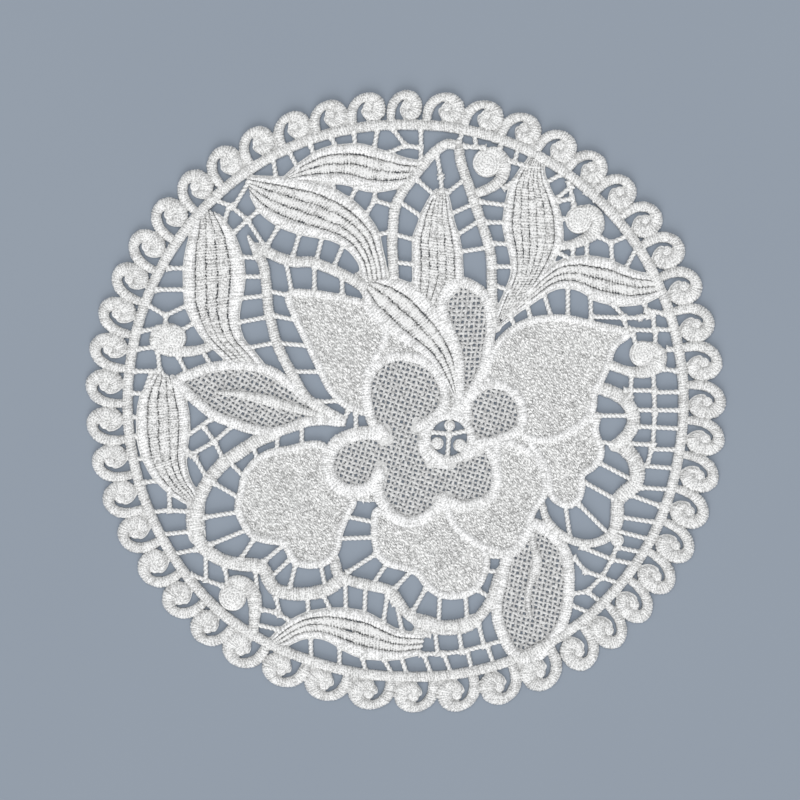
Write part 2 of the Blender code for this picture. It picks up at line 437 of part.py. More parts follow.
def all_strokes():
    """Every stroke of the mat except the outlines of leaves and petals."""
    strokes = strokes_of_rim()
    for half, points in CORDS.values():
        path = spline(points, 1.5)
        strokes.append((np.column_stack([path, np.full(len(path), half)]), CORD_HEIGHT))
    for points in list(VEINS.values()) + list(CURLS.values()):
        strokes.append((spline(points, 1.5), CORD_HEIGHT))
    for x, y, radius in KNOBS:
        strokes.append((np.array([(x, y, radius), (x, y + 0.01, radius)]), KNOB_HEIGHT))
    x, y, radius, half = EYELET
    turn = np.radians(np.arange(0, 361, 15))
    circle = np.column_stack([x + radius * np.sin(turn), y + radius * np.cos(turn)])
    strokes.append((np.column_stack([circle, np.full(len(circle), half)]), CORD_HEIGHT))
    bars = [row for rows in BARS.values() for row in rows]
    for x1, y1, x2, y2 in bars + list(EYELET_SPOKES):
        share = BAR_REACH / math.hypot(x2 - x1, y2 - y1)
        dx, dy = share * (x2 - x1), share * (y2 - y1)
        strokes.append((np.array([(x1 - dx, y1 - dy, BAR_HALF), (x2 + dx, y2 + dy, BAR_HALF)]),
                        EDGE_HEIGHT))
    return strokes


def leaf_outline(one_edge, other_edge):
    """Closed outline of a leaf from its two edges, both given from base to tip."""
    return np.vstack([spline(one_edge, 1.5), spline(other_edge, 1.5)[::-1]])


def segment_distance(px, py, start, end):
    """Distance from points to a segment, and how far along it the nearest point lies."""
    dx, dy = end - start
    along = ((px - start[0]) * dx + (py - start[1]) * dy) / (dx * dx + dy * dy)
    along = np.clip(along, 0.0, 1.0)
    return np.hypot(px - start[0] - along * dx, py - start[1] - along * dy), along


def inside_outline(px, py, outline):
    """True for the points enclosed by a closed outline."""
    result = np.zeros(np.shape(px), dtype=bool)
    for (x1, y1), (x2, y2) in zip(outline, np.roll(outline, -1, axis=0)):
        if y1 == y2:
            continue
        crosses = (y1 > py) != (y2 > py)
        result ^= crosses & (px < x1 + (py - y1) * (x2 - x1) / (y2 - y1))
    return result


class Field:
    """Grid that holds how far each point lies inside the lace; outside it is negative."""

    def __init__(self):
        self.axis = np.arange(-HALF_FIELD, HALF_FIELD + CELL / 2, CELL)
        self.reach = np.full((len(self.axis), len(self.axis)), -9.0)

    def window(self, low, high):
        """Slices and coordinates of the part of the grid between two corners."""
        first = np.searchsorted(self.axis, np.asarray(low))
        last = np.searchsorted(self.axis, np.asarray(high))
        part = (slice(first[0], last[0]), slice(first[1], last[1]))
        px, py = np.meshgrid(self.axis[part[0]], self.axis[part[1]], indexing="ij")
        return part, px, py

    def add_stroke(self, path):
        """Join a stroke whose half width changes evenly between its points."""
        for start, end in zip(path[:-1], path[1:]):
            margin = max(start[2], end[2]) + 3 * CELL
            low = np.minimum(start, end)[:2] - margin
            high = np.maximum(start, end)[:2] + margin
            part, px, py = self.window(low, high)
            distance, along = segment_distance(px, py, start[:2], end[:2])
            half = start[2] + along * (end[2] - start[2])
            self.reach[part] = np.maximum(self.reach[part], half - distance)

    def add_area(self, outline, extra):
        """Join everything within an outline and a strip of width extra around it."""
        margin = extra + 3 * CELL
        part, px, py = self.window(outline.min(axis=0) - margin, outline.max(axis=0) + margin)
        distance = np.full(px.shape, 99.0)
        for start, end in zip(outline, np.roll(outline, -1, axis=0)):
            if np.hypot(*(end - start)) > 1e-6:
                distance = np.minimum(distance, segment_distance(px, py, start, end)[0])
        inside = inside_outline(px, py, outline)
        signed = extra + np.where(inside, distance, -distance)
        self.reach[part] = np.maximum(self.reach[part], signed)

    def soften(self, passes):
        """Round the corners and close the thinnest slits, as thread fills them."""
        for _ in range(passes):
            for axis in (0, 1):
                around = np.roll(self.reach, 1, axis) + np.roll(self.reach, -1, axis)
                self.reach = 0.5 * self.reach + 0.25 * around

    def at(self, x, y):
        """Value at the grid point nearest to x, y."""
        i = int(round((x + HALF_FIELD) / CELL))
        j = int(round((y + HALF_FIELD) / CELL))
        return self.reach[i, j]

    def loops(self):
        """Closed lines round the lace and its openings, with the lace on their left."""
        reach = self.reach
        axis = self.axis
        inside = reach > 0
        mixed = inside[:-1, :-1].astype(int) + inside[1:, :-1] + inside[:-1, 1:] + inside[1:, 1:]
        following = {}

        def crossing(a, b):
            return (a, b) if a < b else (b, a)

        for i, j in zip(*np.nonzero((mixed > 0) & (mixed < 4))):
            corners = ((i, j), (i + 1, j), (i + 1, j + 1), (i, j + 1))
            for triangle in (corners[:3], (corners[0], corners[2], corners[3])):
                leave = enter = None
                for a, b in zip(triangle, triangle[1:] + triangle[:1]):
                    if inside[a] and not inside[b]:
                        leave = crossing(a, b)
                    if inside[b] and not inside[a]:
                        enter = crossing(a, b)
                if leave and enter:
                    following[leave] = enter

        def position(key):
            a, b = key
            t = reach[a] / (reach[a] - reach[b])
            return (axis[a[0]] + t * (axis[b[0]] - axis[a[0]]),
                    axis[a[1]] + t * (axis[b[1]] - axis[a[1]]))

        found = []
        while following:
            key, ahead = following.popitem()
            loop = [key]
            while ahead != loop[0]:
                loop.append(ahead)
                ahead = following.pop(ahead)
            found.append(np.array([position(k) for k in loop]))
        return found


def signed_area(loop):
    """Area within a loop: positive when it runs counter-clockwise."""
    x, y = loop.T
    return 0.5 * float(np.sum(x * np.roll(y, -1) - np.roll(x, -1) * y))


def simplify(loop, tolerance):
    """Leave out the points of a closed loop that lie nearly on the line between those kept."""
    far = int(np.argmax(np.hypot(*(loop - loop[0]).T)))
    ring = np.vstack([loop, loop[:1]])
    keep = {0, far, len(ring) - 1}
    pending = [(0, far), (far, len(ring) - 1)]
    while pending:
        first, last = pending.pop()
        if last - first < 2:
            continue
        distance, _ = segment_distance(ring[first + 1:last, 0], ring[first + 1:last, 1],
                                       ring[first], ring[last])
        worst = int(np.argmax(distance))
        if distance[worst] > tolerance:
            middle = first + 1 + worst
            keep.add(middle)
            pending += [(first, middle), (middle, last)]
    return ring[sorted(keep)[:-1]]


def cut_edges(field):
    """Outer edge and the openings large enough to be cut."""
    loops = sorted(field.loops(), key=signed_area)
    outer = loops[-1]
    openings = []
    for loop in loops:
        size = loop.max(axis=0) - loop.min(axis=0)
        area = -signed_area(loop)
        if area > GAP_AREA and max(size) > GAP_LENGTH and area / max(size) > GAP_WIDTH:
            openings.append(loop)
    openings.sort(key=lambda loop: (round(loop[:, 1].mean(), 2), round(loop[:, 0].mean(), 2)))
    return [simplify(loop, OUTLINE_TOLERANCE) for loop in [outer] + openings]


def crest_points(field, strokes, outlines):
    """Raised points inside the lace, each at least a little away from the cut edges."""
    wanted = []
    for path, height in strokes:
        if height <= EDGE_HEIGHT:
            continue
        travelled = 9.0
        for before, point in zip(np.vstack([path[:1], path[:-1]]), path):
            travelled += np.hypot(*(point - before)[:2])
            if travelled >= 5.5:
                wanted.append((point[0], point[1], height))
                travelled = 0.0
    for one_edge, other_edge in LEAVES.values():
        left, right = (spline(edge, 1.5) for edge in (one_edge, other_edge))
        for step in np.linspace(0.06, 0.94, 11):
            a = left[int(step * (len(left) - 1))]
            b = right[int(step * (len(right) - 1))]
            for share, height in ((0.25, SATIN_HEIGHT), (0.75, SATIN_HEIGHT), (0.5, FILL_HEIGHT)):
                wanted.append((*(a + share * (b - a)), height))
    for outline in outlines:
        for point in outline[::5]:
            wanted.append((*point, CORD_HEIGHT))
    for outline in outlines:
        low, high = outline.min(axis=0), outline.max(axis=0)
        px, py = np.meshgrid(np.arange(low[0], high[0], 6.5), np.arange(low[1], high[1], 6.5))
        inner = inside_outline(px, py, outline)
        for x, y in zip(px[inner], py[inner]):
            wanted.append((x, y, FILL_HEIGHT))
    kept = np.zeros((0, 3))
    for point in wanted:
        if field.at(point[0], point[1]) < 0.8:
            continue
        if len(kept) and np.min(np.hypot(kept[:, 0] - point[0], kept[:, 1] - point[1])) < 2.8:
            continue
        kept = np.vstack([kept, point])
    return kept


def triangles(loops, extra):
    """Triangles of the area between the loops; extra points inside it become corners too."""
    corners = np.vstack(loops + [extra[:, :2]])
    edges = []
    first = 0
    for loop in loops:
        count = len(loop)
        edges += [(first + k, first + (k + 1) % count) for k in range(count)]
        first += count
    result = delaunay_2d_cdt([Vector(p) for p in corners], edges, [], 0, 1e-6)
    places, _, faces, origin = result[:4]
    if len(places) != len(corners):
        raise ValueError("cut edges cross each other")
    index = [source[0] for source in origin]
    faces = np.array([[index[v] for v in face] for face in faces])
    middle = corners[faces].mean(axis=1)
    inside = np.zeros(len(faces), dtype=bool)
    for loop in loops:
        inside ^= inside_outline(middle[:, 0], middle[:, 1], loop)
    return faces[inside]


def mat_mesh(loops, crests):
    """Flat underside, upright cut edges and the top with its raised points."""
    edge_points = np.vstack(loops)
    count = len(edge_points)
    under = np.column_stack([edge_points, np.zeros(count)])
    rim = np.column_stack([edge_points, np.full(count, EDGE_HEIGHT)])
    vertices = np.vstack([under, rim, crests]) * MM
    faces = [tuple(int(v) for v in face[::-1]) for face in triangles(loops, np.zeros((0, 3)))]
    faces += [tuple(int(v) + count for v in face) for face in triangles(loops, crests)]
    first = 0
    for loop in loops:
        size = len(loop)
        for k in range(size):
            a = first + k
            b = first + (k + 1) % size
            faces.append((a, b, b + count, a + count))
        first += size
    mesh = bpy.data.meshes.new("lace_mat")
    mesh.from_pydata([tuple(v) for v in vertices], [], faces)
    mesh.update()
    return mesh


def cotton_material():
    """White embroidery thread, matt."""
    material = bpy.data.materials.new("white_cotton_thread")
    material.use_nodes = True
    shader = material.node_tree.nodes["Principled BSDF"]
    shader.inputs["Base Color"].default_value = (0.82, 0.82, 0.80, 1.0)
    shader.inputs["Roughness"].default_value = 0.85
    return material


def build():
    for old in list(bpy.data.objects):
        bpy.data.objects.remove(old, do_unlink=True)
    field = Field()
    strokes = all_strokes()
    for path, _ in strokes:
        field.add_stroke(path)
    outlines = []
    for half, points in PETALS.values():
        outline = closed_spline(points, 1.5)
        field.add_area(outline, half)
        outlines.append(outline)
    for one_edge, other_edge in LEAVES.values():
        field.add_area(leaf_outline(one_edge, other_edge), 0.2)
    for points in GROUNDS.values():
        field.add_area(closed_spline(points, 1.5), 0.2)
    x, y, radius, half = EYELET
    i, j = np.meshgrid(field.axis, field.axis, indexing="ij")
    hole = radius - half - np.hypot(i - x, j - y)
    spokes = Field()
    for path, _ in strokes:
        if np.max(np.hypot(path[:, 0] - x, path[:, 1] - y)) < radius + half + 1:
            spokes.add_stroke(path)
    field.reach = np.where(hole > 0, np.maximum(-hole, spokes.reach), field.reach)
    field.soften(2)
    loops = cut_edges(field)
    mesh = mat_mesh(loops, crest_points(field, strokes, outlines))
    mesh.materials.append(cotton_material())
    mat = bpy.data.objects.new("lace_mat", mesh)
    bpy.context.scene.collection.objects.link(mat)


build()
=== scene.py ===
"""Round white lace mat, machine embroidered in one piece, lying flat on a pale blue-grey table.

Cords, leaves, scrolls, nets, rice stitches and joining bars are each skins worked out with numpy:
rings of points carried along a path.  Lengths are in millimetres, and tables say where they hold
something else.  X is to the right and Y up the motif.
"""
import math

import bpy
import numpy as np
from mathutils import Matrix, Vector
from mathutils.geometry import delaunay_2d_cdt


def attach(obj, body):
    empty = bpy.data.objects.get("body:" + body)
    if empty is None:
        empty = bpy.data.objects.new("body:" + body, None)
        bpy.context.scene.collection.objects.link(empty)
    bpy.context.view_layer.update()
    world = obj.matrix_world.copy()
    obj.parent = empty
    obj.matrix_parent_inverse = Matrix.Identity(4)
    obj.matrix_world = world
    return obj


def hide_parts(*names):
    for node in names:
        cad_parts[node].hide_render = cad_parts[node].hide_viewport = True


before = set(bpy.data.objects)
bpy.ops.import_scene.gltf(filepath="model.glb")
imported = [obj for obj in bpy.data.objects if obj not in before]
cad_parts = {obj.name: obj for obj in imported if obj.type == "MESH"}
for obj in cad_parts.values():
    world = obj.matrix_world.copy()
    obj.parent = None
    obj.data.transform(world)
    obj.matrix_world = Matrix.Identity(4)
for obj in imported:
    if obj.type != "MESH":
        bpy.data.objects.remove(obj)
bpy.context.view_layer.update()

MM = 0.001                  # metres in a millimetre

# Heights above the table.
STITCH_FOOT = 0.05          # lower edges of the satin
HEAD_FOOT = 0.3             # lower edge of the dome in the middle of a scroll
NET_HEIGHT = 0.4            # middle of the net's threads
BAR_HEIGHT = 0.68           # middle of a joining bar
GROUND_TOP = 0.75           # top of the ground that all the stitching is worked on
HEAD_TOP = 1.5              # top of the dome in the middle of a scroll
RIB_TOP = 1.65              # top of the ribs inside a leaf
RICE_BORDER_TOP = 1.7       # top of the satin round a rice-stitch petal
LEAF_TOP = 1.75             # top of a leaf's two borders
SATIN_TOP = 1.85            # top of the satin round a net
CORD_TOP = 1.95             # top of a stuffed cord
RING_TOP = 2.05             # top of the rim cord
KNOB_TOP = 2.15             # top of a rolled end

# Real satin threads lie 0.3 to 0.4 mm apart, too fine to show in the render, so they are drawn
# two to three times as coarse.
THREAD = 0.75               # pitch of the satin threads
LEAF_THREAD = 1.0           # pitch of the threads across a leaf
RINGS = 4                   # rings of points to one thread
ACROSS = 9                  # points from edge to edge of a band of satin
RELIEF = 0.12               # a thread of satin stands out this far
UNEVEN = 0.4                # share by which the threads differ in width
NET_PITCH = 1.48            # mesh of the net
NET_HALF = 0.48             # half width of the net's thread
NET_WAVE = 0.12             # it goes this far over and under the threads that it crosses
NET_INSET = 0.2             # and ends this far inside the net's outline
NET_BORDER = 0.3            # the satin round a net is this much wider than its cord, each side
RICE_ACROSS = 0.6           # spacing of the rice stitches across their direction
RICE_ALONG = 1.35           # and along it
RICE_HALF = 0.72            # half the length of one
RICE_WIDTHS = (0.14, 0.38, 0.14)        # half widths of one at its end, middle and other end
RICE_TURN = -54.0           # direction of the rice stitches, degrees from X

RING_HALF = 1.7             # half width of the rim cord
HEAD_RADIUS = 1.7           # radius of the dome in the middle of a scroll
LEAST_SCROLL = 6.7          # least angle on the rim that one scroll takes up, degrees
KNOB_WRAP = 0.3             # the thread on a rolled end makes its radius larger by this
LEAF_LAP = 0.02             # a leaf's borders reach this share of its width past its edges
BAR_REACH = 0.8             # the bars run this far on into what they join
BAR_HALF = 0.72             # half width of a joining bar
BAR_TWIST = 4.2             # advance of its twist, radians of the two-ply wave to a millimetre

LINE_STEP = 1.0             # spacing of the points on a line that thread follows
GROUND_STEP = 1.5           # and on a line of the ground
INSET = 0.3                 # the ground stays this far inside the cords that cover it
BAR_GROUND = 0.4            # half width of the ground under a bar
LEAF_GROUND = 0.55          # half width of the ground under the edges of a leaf
CELL = 0.4                  # grid on which the strokes of the ground are joined
HALF_FIELD = 109.0          # the grid reaches this far from the middle
OUTLINE_TOLERANCE = 0.06    # corners flatter than this are left out of the ground's edge
GAP_LENGTH = 2.2            # shorter openings of the ground stay closed
GAP_AREA = 1.6              # smaller openings of the ground stay closed
RICE_GROUND = 0.3           # the ground reaches this far past the outline of a rice petal
PATCH_GROUND = 0.1          # and of a patch,
NET_GROUND = 0.3            # and this far into a net
NET_COVER = 0.9             # satin is hidden where it lies further than this inside a net,
LEAF_COVER = 0.7            # or further than this inside a leaf
RICE_COVER = 0.5            # the same for a rice stitch inside a leaf
EMPTY = -9.0                # value of the grid where nothing lies near
OPEN = -0.5                 # and inside a net

FLECK = 4.8                 # how strongly loose and tight spots change the shade of thread
TABLE_LIGHT = "8F98A3"      # colours of the table
TABLE_SHADE = "8A939F"
TABLE_DROP = 0.0004         # the table lies this far below the mat, so that no faces coincide, metres
SKY = (0.96, 0.98, 1.0, 1.0)            # faintly blue light from all round
SKY_STRENGTH = 0.37
FRAME_WIDTH = 0.254         # width of the photo on the table, metres
FRAME_MIDDLE = (-0.00165, 0.00016)      # the photo's middle on the mat's axes, metres
CAMERA_HEIGHT = 0.95        # metres
SENSOR = 36.0               # width of the camera's sensor, millimetres

SCROLL_COUNT = 48
RING_COLUMN, HEADS_COLUMN = 1, 2        # of the table RIM

# Edges of one scroll from its foot on the ring to its rolled end.  Outer edge: share of the pitch
# past the head, share of the way from ring to head.  Inner edge: the same two.
SCROLL_EDGES = (
    (-0.56, 0.06, -0.31, 0.06), (-0.555, 0.32, -0.30, 0.28), (-0.51, 0.58, -0.26, 0.47),
    (-0.35, 0.83, -0.17, 0.62), (-0.08, 0.98, -0.06, 0.71), (0.20, 0.975, 0.055, 0.70),
    (0.42, 0.80, 0.12, 0.62), (0.50, 0.54, 0.13, 0.55), (0.46, 0.30, 0.105, 0.49),
    (0.30, 0.15, 0.065, 0.46), (0.10, 0.125, 0.015, 0.46), (-0.085, 0.25, -0.025, 0.49),
    (-0.17, 0.41, -0.05, 0.53),
)

# Clockwise angle from the top, radius of the rim cord's centre, radius of the scroll heads.
RIM = (
    (0, 87.5, 98.6), (20, 88.3, 99.0), (40, 88.5, 99.9), (60, 88.5, 101.5), (80, 88.3, 101.4),
    (100, 88.4, 102.4), (120, 89.6, 103.8), (140, 89.8, 103.7), (160, 88.9, 101.5),
    (180, 87.6, 98.8), (200, 87.8, 98.8), (220, 89.1, 100.9), (240, 88.6, 101.1),
    (260, 88.2, 101.5), (280, 88.0, 101.7), (300, 88.2, 101.4), (320, 88.4, 100.3),
    (340, 88.2, 98.5), (360, 87.5, 98.6),
)

# Scroll number, clockwise angle of its head.
SCROLL_ANGLES = (
    (0, 0), (4, 31), (8, 60), (12, 90), (16, 118), (20, 145), (24, 178), (28, 213), (32, 243.5),
    (36, 272.5), (40, 300.5), (44, 330), (48, 360),
)

# Satin leaves: the points of one edge from base to tip, then those of the other edge.
LEAVES = {
    "left upright leaf": (
        ((-54, 10.5), (-60.5, 16.3), (-64, 19.8), (-67.3, 25), (-69.5, 30), (-70, 36), (-70, 43),
         (-69, 49), (-67.5, 54), (-65.5, 61.5)),
        ((-45, 11.5), (-49, 16.5), (-51.5, 19.5), (-53, 25), (-52.6, 30), (-51.4, 36), (-51.2, 41),
         (-52, 46), (-55, 53.5), (-60, 59.8))),
    "large upper leaf": (
        ((-6, 38), (-6.5, 43), (-7.5, 48), (-8.8, 53.5), (-12, 58.5), (-16, 62.7), (-21, 66),
         (-27, 68.6), (-38, 70.5), (-50, 71)),
        ((-13.3, 38.5), (-14.5, 43.5), (-17.5, 47.5), (-21, 50), (-25, 51.5), (-30, 52.3),
         (-36, 53.8), (-41, 56), (-46, 60), (-49.5, 66))),
    "slender top leaf": (
        ((-38, 71), (-34, 74.7), (-30, 77.5), (-26, 79.8), (-20, 80.9), (-14, 81.1), (-9.5, 79.8),
         (-5, 78.4), (0, 76.7), (6, 75.5)),
        ((-37, 70), (-33, 70), (-27, 69.6), (-22, 69.2), (-17, 68.3), (-13, 66.8), (-8, 66.6),
         (-4, 67.3), (-1, 68.3), (2, 69.5))),
    "curved inner leaf": (
        ((-9, 38.5), (-4, 38.5), (1, 37.2), (6, 33.8), (10.5, 28.5), (14, 22.5), (16.5, 16),
         (17.5, 9), (17, 2)),
        ((-13.5, 35), (-12, 30), (-9, 25.5), (-5, 21.5), (0, 18), (5, 15), (9, 11), (12.5, 6),
         (15.5, 1))),
    "middle upright leaf": (
        ((5.5, 28.5), (3.6, 32), (2.8, 37), (2.7, 42), (2.6, 47), (2.8, 52), (4.3, 56),
         (5.2, 59), (7.5, 63.5), (10, 67)),
        ((9.5, 28.5), (13.5, 32), (17.6, 37), (18, 42), (17.6, 47.5), (16.8, 52), (15.5, 56),
         (14.5, 60), (13.8, 63.8), (12.7, 67))),
    "tall right leaf": (
        ((28.5, 25), (30.6, 31.5), (32.7, 36.5), (34, 41), (33.5, 46), (32.2, 51), (31.3, 55.5),
         (31.7, 60), (32.6, 65), (34.2, 69.5), (36.5, 73), (39.5, 77)),
        ((34, 27), (38, 32), (42, 37), (45.5, 42.3), (48.5, 47.5), (49.8, 52), (49.4, 57),
         (48.6, 61), (47, 64.8), (45.2, 68.5), (44, 72), (43.5, 77))),
    "slender right leaf": (
        ((31, 27), (37, 33), (41, 37.2), (45, 41), (49, 44), (54, 45.3), (59, 45.5), (64, 44.7),
         (68, 43), (72, 41.1), (77, 39.8), (81, 38)),
        ((30, 23.5), (36, 28.3), (41, 31.5), (44.5, 34), (48, 35.7), (52, 36), (56, 34.8),
         (60, 32.2), (64, 31), (70, 30.3), (77, 31.5), (82, 34.5))),
    "left lower leaf": (
        ((-79, 9), (-82, 4.5), (-84.2, 0), (-84.8, -6), (-84.6, -12), (-83.2, -18), (-80.4, -23.5),
         (-77.3, -27), (-74, -29.8), (-69.5, -32.5)),
        ((-74, 8), (-71.6, 4), (-69.6, -1), (-68.7, -6), (-69, -12), (-69.8, -17), (-69.5, -21.5),
         (-68.3, -25.5), (-66.8, -28), (-66, -30.5))),
    "slender bottom leaf": (
        ((-43, -76), (-39, -72), (-35.5, -69.5), (-31, -67.4), (-25, -66.3), (-18, -66.3),
         (-12, -67.6), (-6.5, -70.7), (-1.5, -73.2), (6.5, -74.2)),
        ((-41, -78.5), (-37, -77.3), (-33, -75.5), (-29, -75), (-25, -75.8), (-21, -78),
         (-17, -80.3), (-12, -81.7), (-4, -82), (5, -80.3))),
}

# Net and rice-stitch petals: half width of the satin cord round them, then that cord's line.
PETALS = {
    "rice petal, upper left": (1.3, (
        (-36.8, 33.6), (-30, 34), (-24, 33.2), (-18, 32), (-13, 30.5), (-9.5, 26), (-6, 21.5),
        (-9, 14), (-12, 9), (-12.5, 3), (-11.5, -3.5), (-17.5, -2), (-21, 0.5), (-24.3, 4.5),
        (-27.6, 11.5), (-31.5, 19.5), (-35, 27))),
    "rice petal, right": (1.3, (
        (25.5, 8), (27.5, 14), (29.5, 18), (33.5, 22), (39, 25), (45, 26), (51, 26), (57, 24.8),
        (63, 23.3), (68.5, 22.3), (70.5, 20.9), (67.3, 18.5), (65.3, 15.5), (64.3, 11.5),
        (62.3, 7), (60, 2.5), (59.3, -3), (56, -7), (50, -11), (42, -12.5), (37, -10), (37.5, -3),
        (34.5, 3), (29, 5.3))),
    "rice petal, small right": (1.3, (
        (40, -13), (46, -12.5), (52, -10.5), (57, -7), (60.7, -5), (60.2, -9), (61, -12),
        (62, -14.5), (61.8, -18), (59.5, -21), (56, -23.5), (56, -27), (55, -31), (52, -33.2),
        (48.5, -32), (46, -29), (45.5, -24), (43.5, -19))),
    "rice petal, lower right": (1.3, (
        (29.5, -13.5), (36, -14.5), (40, -17), (43, -20), (44.3, -25), (44, -30), (41.5, -33.5),
        (39.8, -37), (39.5, -42), (37.5, -46), (33, -48), (28, -47.5), (22, -45), (17, -41),
        (14.5, -37), (13, -33), (20, -33.5), (27, -31), (29.5, -24))),
    "rice petal, bottom": (1.3, (
        (-8.7, -35), (-9.7, -40), (-9.4, -45), (-8.3, -49), (-5, -51.7), (0, -53), (4, -54.7),
        (7.5, -59), (12, -61.7), (18, -61.7), (22.3, -59.5), (24.9, -55), (25.8, -50),
        (24, -46), (18, -42), (14.5, -38), (12.5, -33), (5, -38), (-2, -38))),
    "rice petal, left": (1.3, (
        (-26, -14.5), (-31, -14.1), (-36, -15.3), (-42.3, -16.5), (-47, -19), (-50.7, -23.5),
        (-52, -29), (-53, -34), (-51.2, -39), (-48, -43), (-43, -44.4), (-39, -45), (-37, -47.5),
        (-35, -51), (-30, -52.2), (-25, -51), (-22, -47.5), (-20.8, -42), (-18.7, -36.5),
        (-16.5, -31.5), (-21, -27), (-24.5, -20))),
    "net petal, middle": (1.4, (
        (0, 14), (-4, 13.8), (-8, 12), (-11.3, 8), (-12.3, 3), (-11.5, -3), (-9, -8.5),
        (0, -10), (10, -4.5), (12.6, 0), (12, 5), (9.5, 9.5), (5, 12.8))),
    "net petal, teardrop": (1.5, (
        (17, 37.6), (12.6, 34.5), (11.6, 30), (13, 25), (15, 20), (16.8, 14), (17.2, 6),
        (17, 0), (16, -4), (19.5, 0), (21, 3), (23.5, 7), (25.5, 12), (26.5, 18), (27.2, 24),
        (26.8, 29), (25, 33.5), (21, 36.6))),
    "net petal, round": (1.4, (
        (19.5, -2), (22, 2.5), (25.5, 5), (30, 5), (34.7, 2.5), (37, -2), (36.7, -8), (33, -11),
        (28.5, -12.5), (24, -14), (20.5, -9))),
    "net petal, lower right": (1.6, (
        (24, -13.5), (27, -16), (28.7, -20), (29, -26), (26.7, -31), (20, -33.5), (15, -32.5),
        (11.5, -29.5), (8, -20), (16, -20))),
    "net petal, bottom": (1.7, (
        (-8.5, -29), (-6, -34), (-1.5, -38), (4, -38.2), (8.5, -35.5), (11.5, -31), (8, -21),
        (-7.5, -22))),
    "net petal, left": (2.0, (
        (-10, -10.3), (-16, -10.8), (-21.5, -13.2), (-24.2, -18), (-24.2, -23), (-21, -27.5),
        (-15.5, -28.7), (-10.5, -27), (-7, -20), (-6, -12))),
    "net ground, middle": (1.5, (
        (-6, -9), (2, -6), (6, -10), (6, -16), (12, -20), (22, -16), (26, -24), (14, -30),
        (0, -34), (-8, -26))),
    "net leaf, left": (1.4, (
        (-72, 6.5), (-68, 8.3), (-62, 10.5), (-55, 11.2), (-48, 10.8), (-42, 9), (-36.5, 5),
        (-31, 0.5), (-25, -3.5), (-20, -6.5), (-26, -6.2), (-31, -6.7), (-36, -8.4),
        (-42, -10), (-48, -9.2), (-54, -7.3), (-60, -5), (-65, -1.3), (-69.5, 3))),
    "net leaf, lower right": (1.6, (
        (40.5, -39.5), (44, -40.6), (48, -44), (51, -48.5), (52, -55), (51.8, -61), (51, -67),
        (49.3, -72), (46, -77), (41.5, -81.5), (37, -81.8), (34, -79.7), (31.7, -76),
        (29.8, -71), (29, -66), (29.7, -61), (31, -56), (32.3, -50), (36, -46))),
}

# Patches of plain stitching that join petals and leaves where they meet.
GROUNDS = {
    "between the leaves' feet": ((-16, 40), (-11, 41), (-6, 40), (-8, 35), (-13, 33)),
    "above the middle net petal": ((-13, 9), (-8, 21), (1, 18.5), (7, 13), (4, 11), (-6, 11)),
    "over the teardrop petal": ((4, 35), (10, 40), (17, 40), (14, 32), (12, 27), (8, 30)),
    "over the eyelet": ((11, -4), (14, 4), (20, 4), (19, -4)),
    "between the right petals": ((31, -9), (42, -10), (43, -16), (31, -16)),
    "under the left net petal": ((-16.5, -30.7), (-12, -32.2), (-8.5, -31), (-9, -25), (-15, -27)),
    "beside the bottom leaf": ((2.5, -73), (5.5, -75.8), (7, -73.5), (4.5, -71.5)),
}

# Stuffed cords: half width, then the line they follow.
CORDS = {
    "arch, left branch": (1.7, (
        (-3.5, 38), (-3.8, 44), (-4.1, 50), (-3.8, 56), (-3.2, 61), (-1, 66), (2.3, 70.5),
        (5.5, 74.5), (9, 78.5), (13, 81.3), (16.5, 81))),
    "arch, right branch": (1.7, (
        (17, 80.5), (17.6, 76), (19, 71.5), (20.3, 68), (21.6, 64), (23, 60), (24.7, 55),
        (26.3, 50), (27.3, 45), (27.4, 40), (27.6, 34), (28, 28), (29, 23))),
    "spoke to the left petals": (1.7, (
        (-47.2, 47.4), (-45, 43), (-44.2, 38), (-43.8, 34), (-43.4, 29), (-42.3, 24),
        (-41, 19), (-38.9, 14), (-36.5, 9.5), (-34.2, 5.5), (-31.8, 1.5), (-28.5, -1.5),
        (-24.5, -3.8), (-21, -5.5))),
    "cord round the upper petal": (1.8, (
        (-47.4, 48.6), (-43, 46.8), (-39.5, 45.2), (-35, 44), (-30, 44), (-26, 42.7),
        (-21, 40.6), (-16, 37.9), (-12.5, 35.5))),
    "scallops round the left petal": (2.2, (
        (-41, -10.3), (-46, -12.2), (-50, -14.6), (-53.5, -17), (-57, -19.3), (-60, -22.3),
        (-62.5, -25.5), (-64.8, -30), (-66.3, -36), (-66, -42), (-64.5, -46), (-61, -49),
        (-57, -51), (-52, -52), (-47, -52.3), (-44.5, -54), (-43.3, -57), (-41, -60),
        (-36, -61.3), (-31, -61.3), (-27, -60.6), (-23.7, -59.3), (-20, -56.3))),
    "scallops, wide side": (3.1, ((-66.3, -33), (-66.6, -38), (-66, -43))),
    "scallops round the bottom petal": (1.8, (
        (-22.3, -50.5), (-21.3, -55), (-17.8, -57), (-13, -58.3), (-8, -59.3), (-4.3, -60.7),
        (-1.8, -64.3), (0.8, -67.7), (4.5, -70), (9, -71.3), (12, -72), (18, -71.5),
        (22, -70), (25, -66.8), (27.3, -63.3), (28.7, -59), (30.3, -54))),
    "scallops, thick bottom": (2.5, ((4, -69.7), (9, -71.3), (12, -72.1), (18, -71.6),
                                     (22, -69.8))),
    "scallops round the small petal, first": (2.2, (
        (61.5, 4), (66, 2.5), (69.7, 0), (72, -3.5), (72.3, -7.5), (70.5, -11), (68.3, -13.2),
        (66.5, -14.4))),
    "scallops round the small petal, second": (2.5, (
        (68.3, -14.4), (71, -16.5), (73, -19.5), (73.7, -23.5), (72.5, -27), (69.5, -29.4),
        (67.5, -31.5))),
}

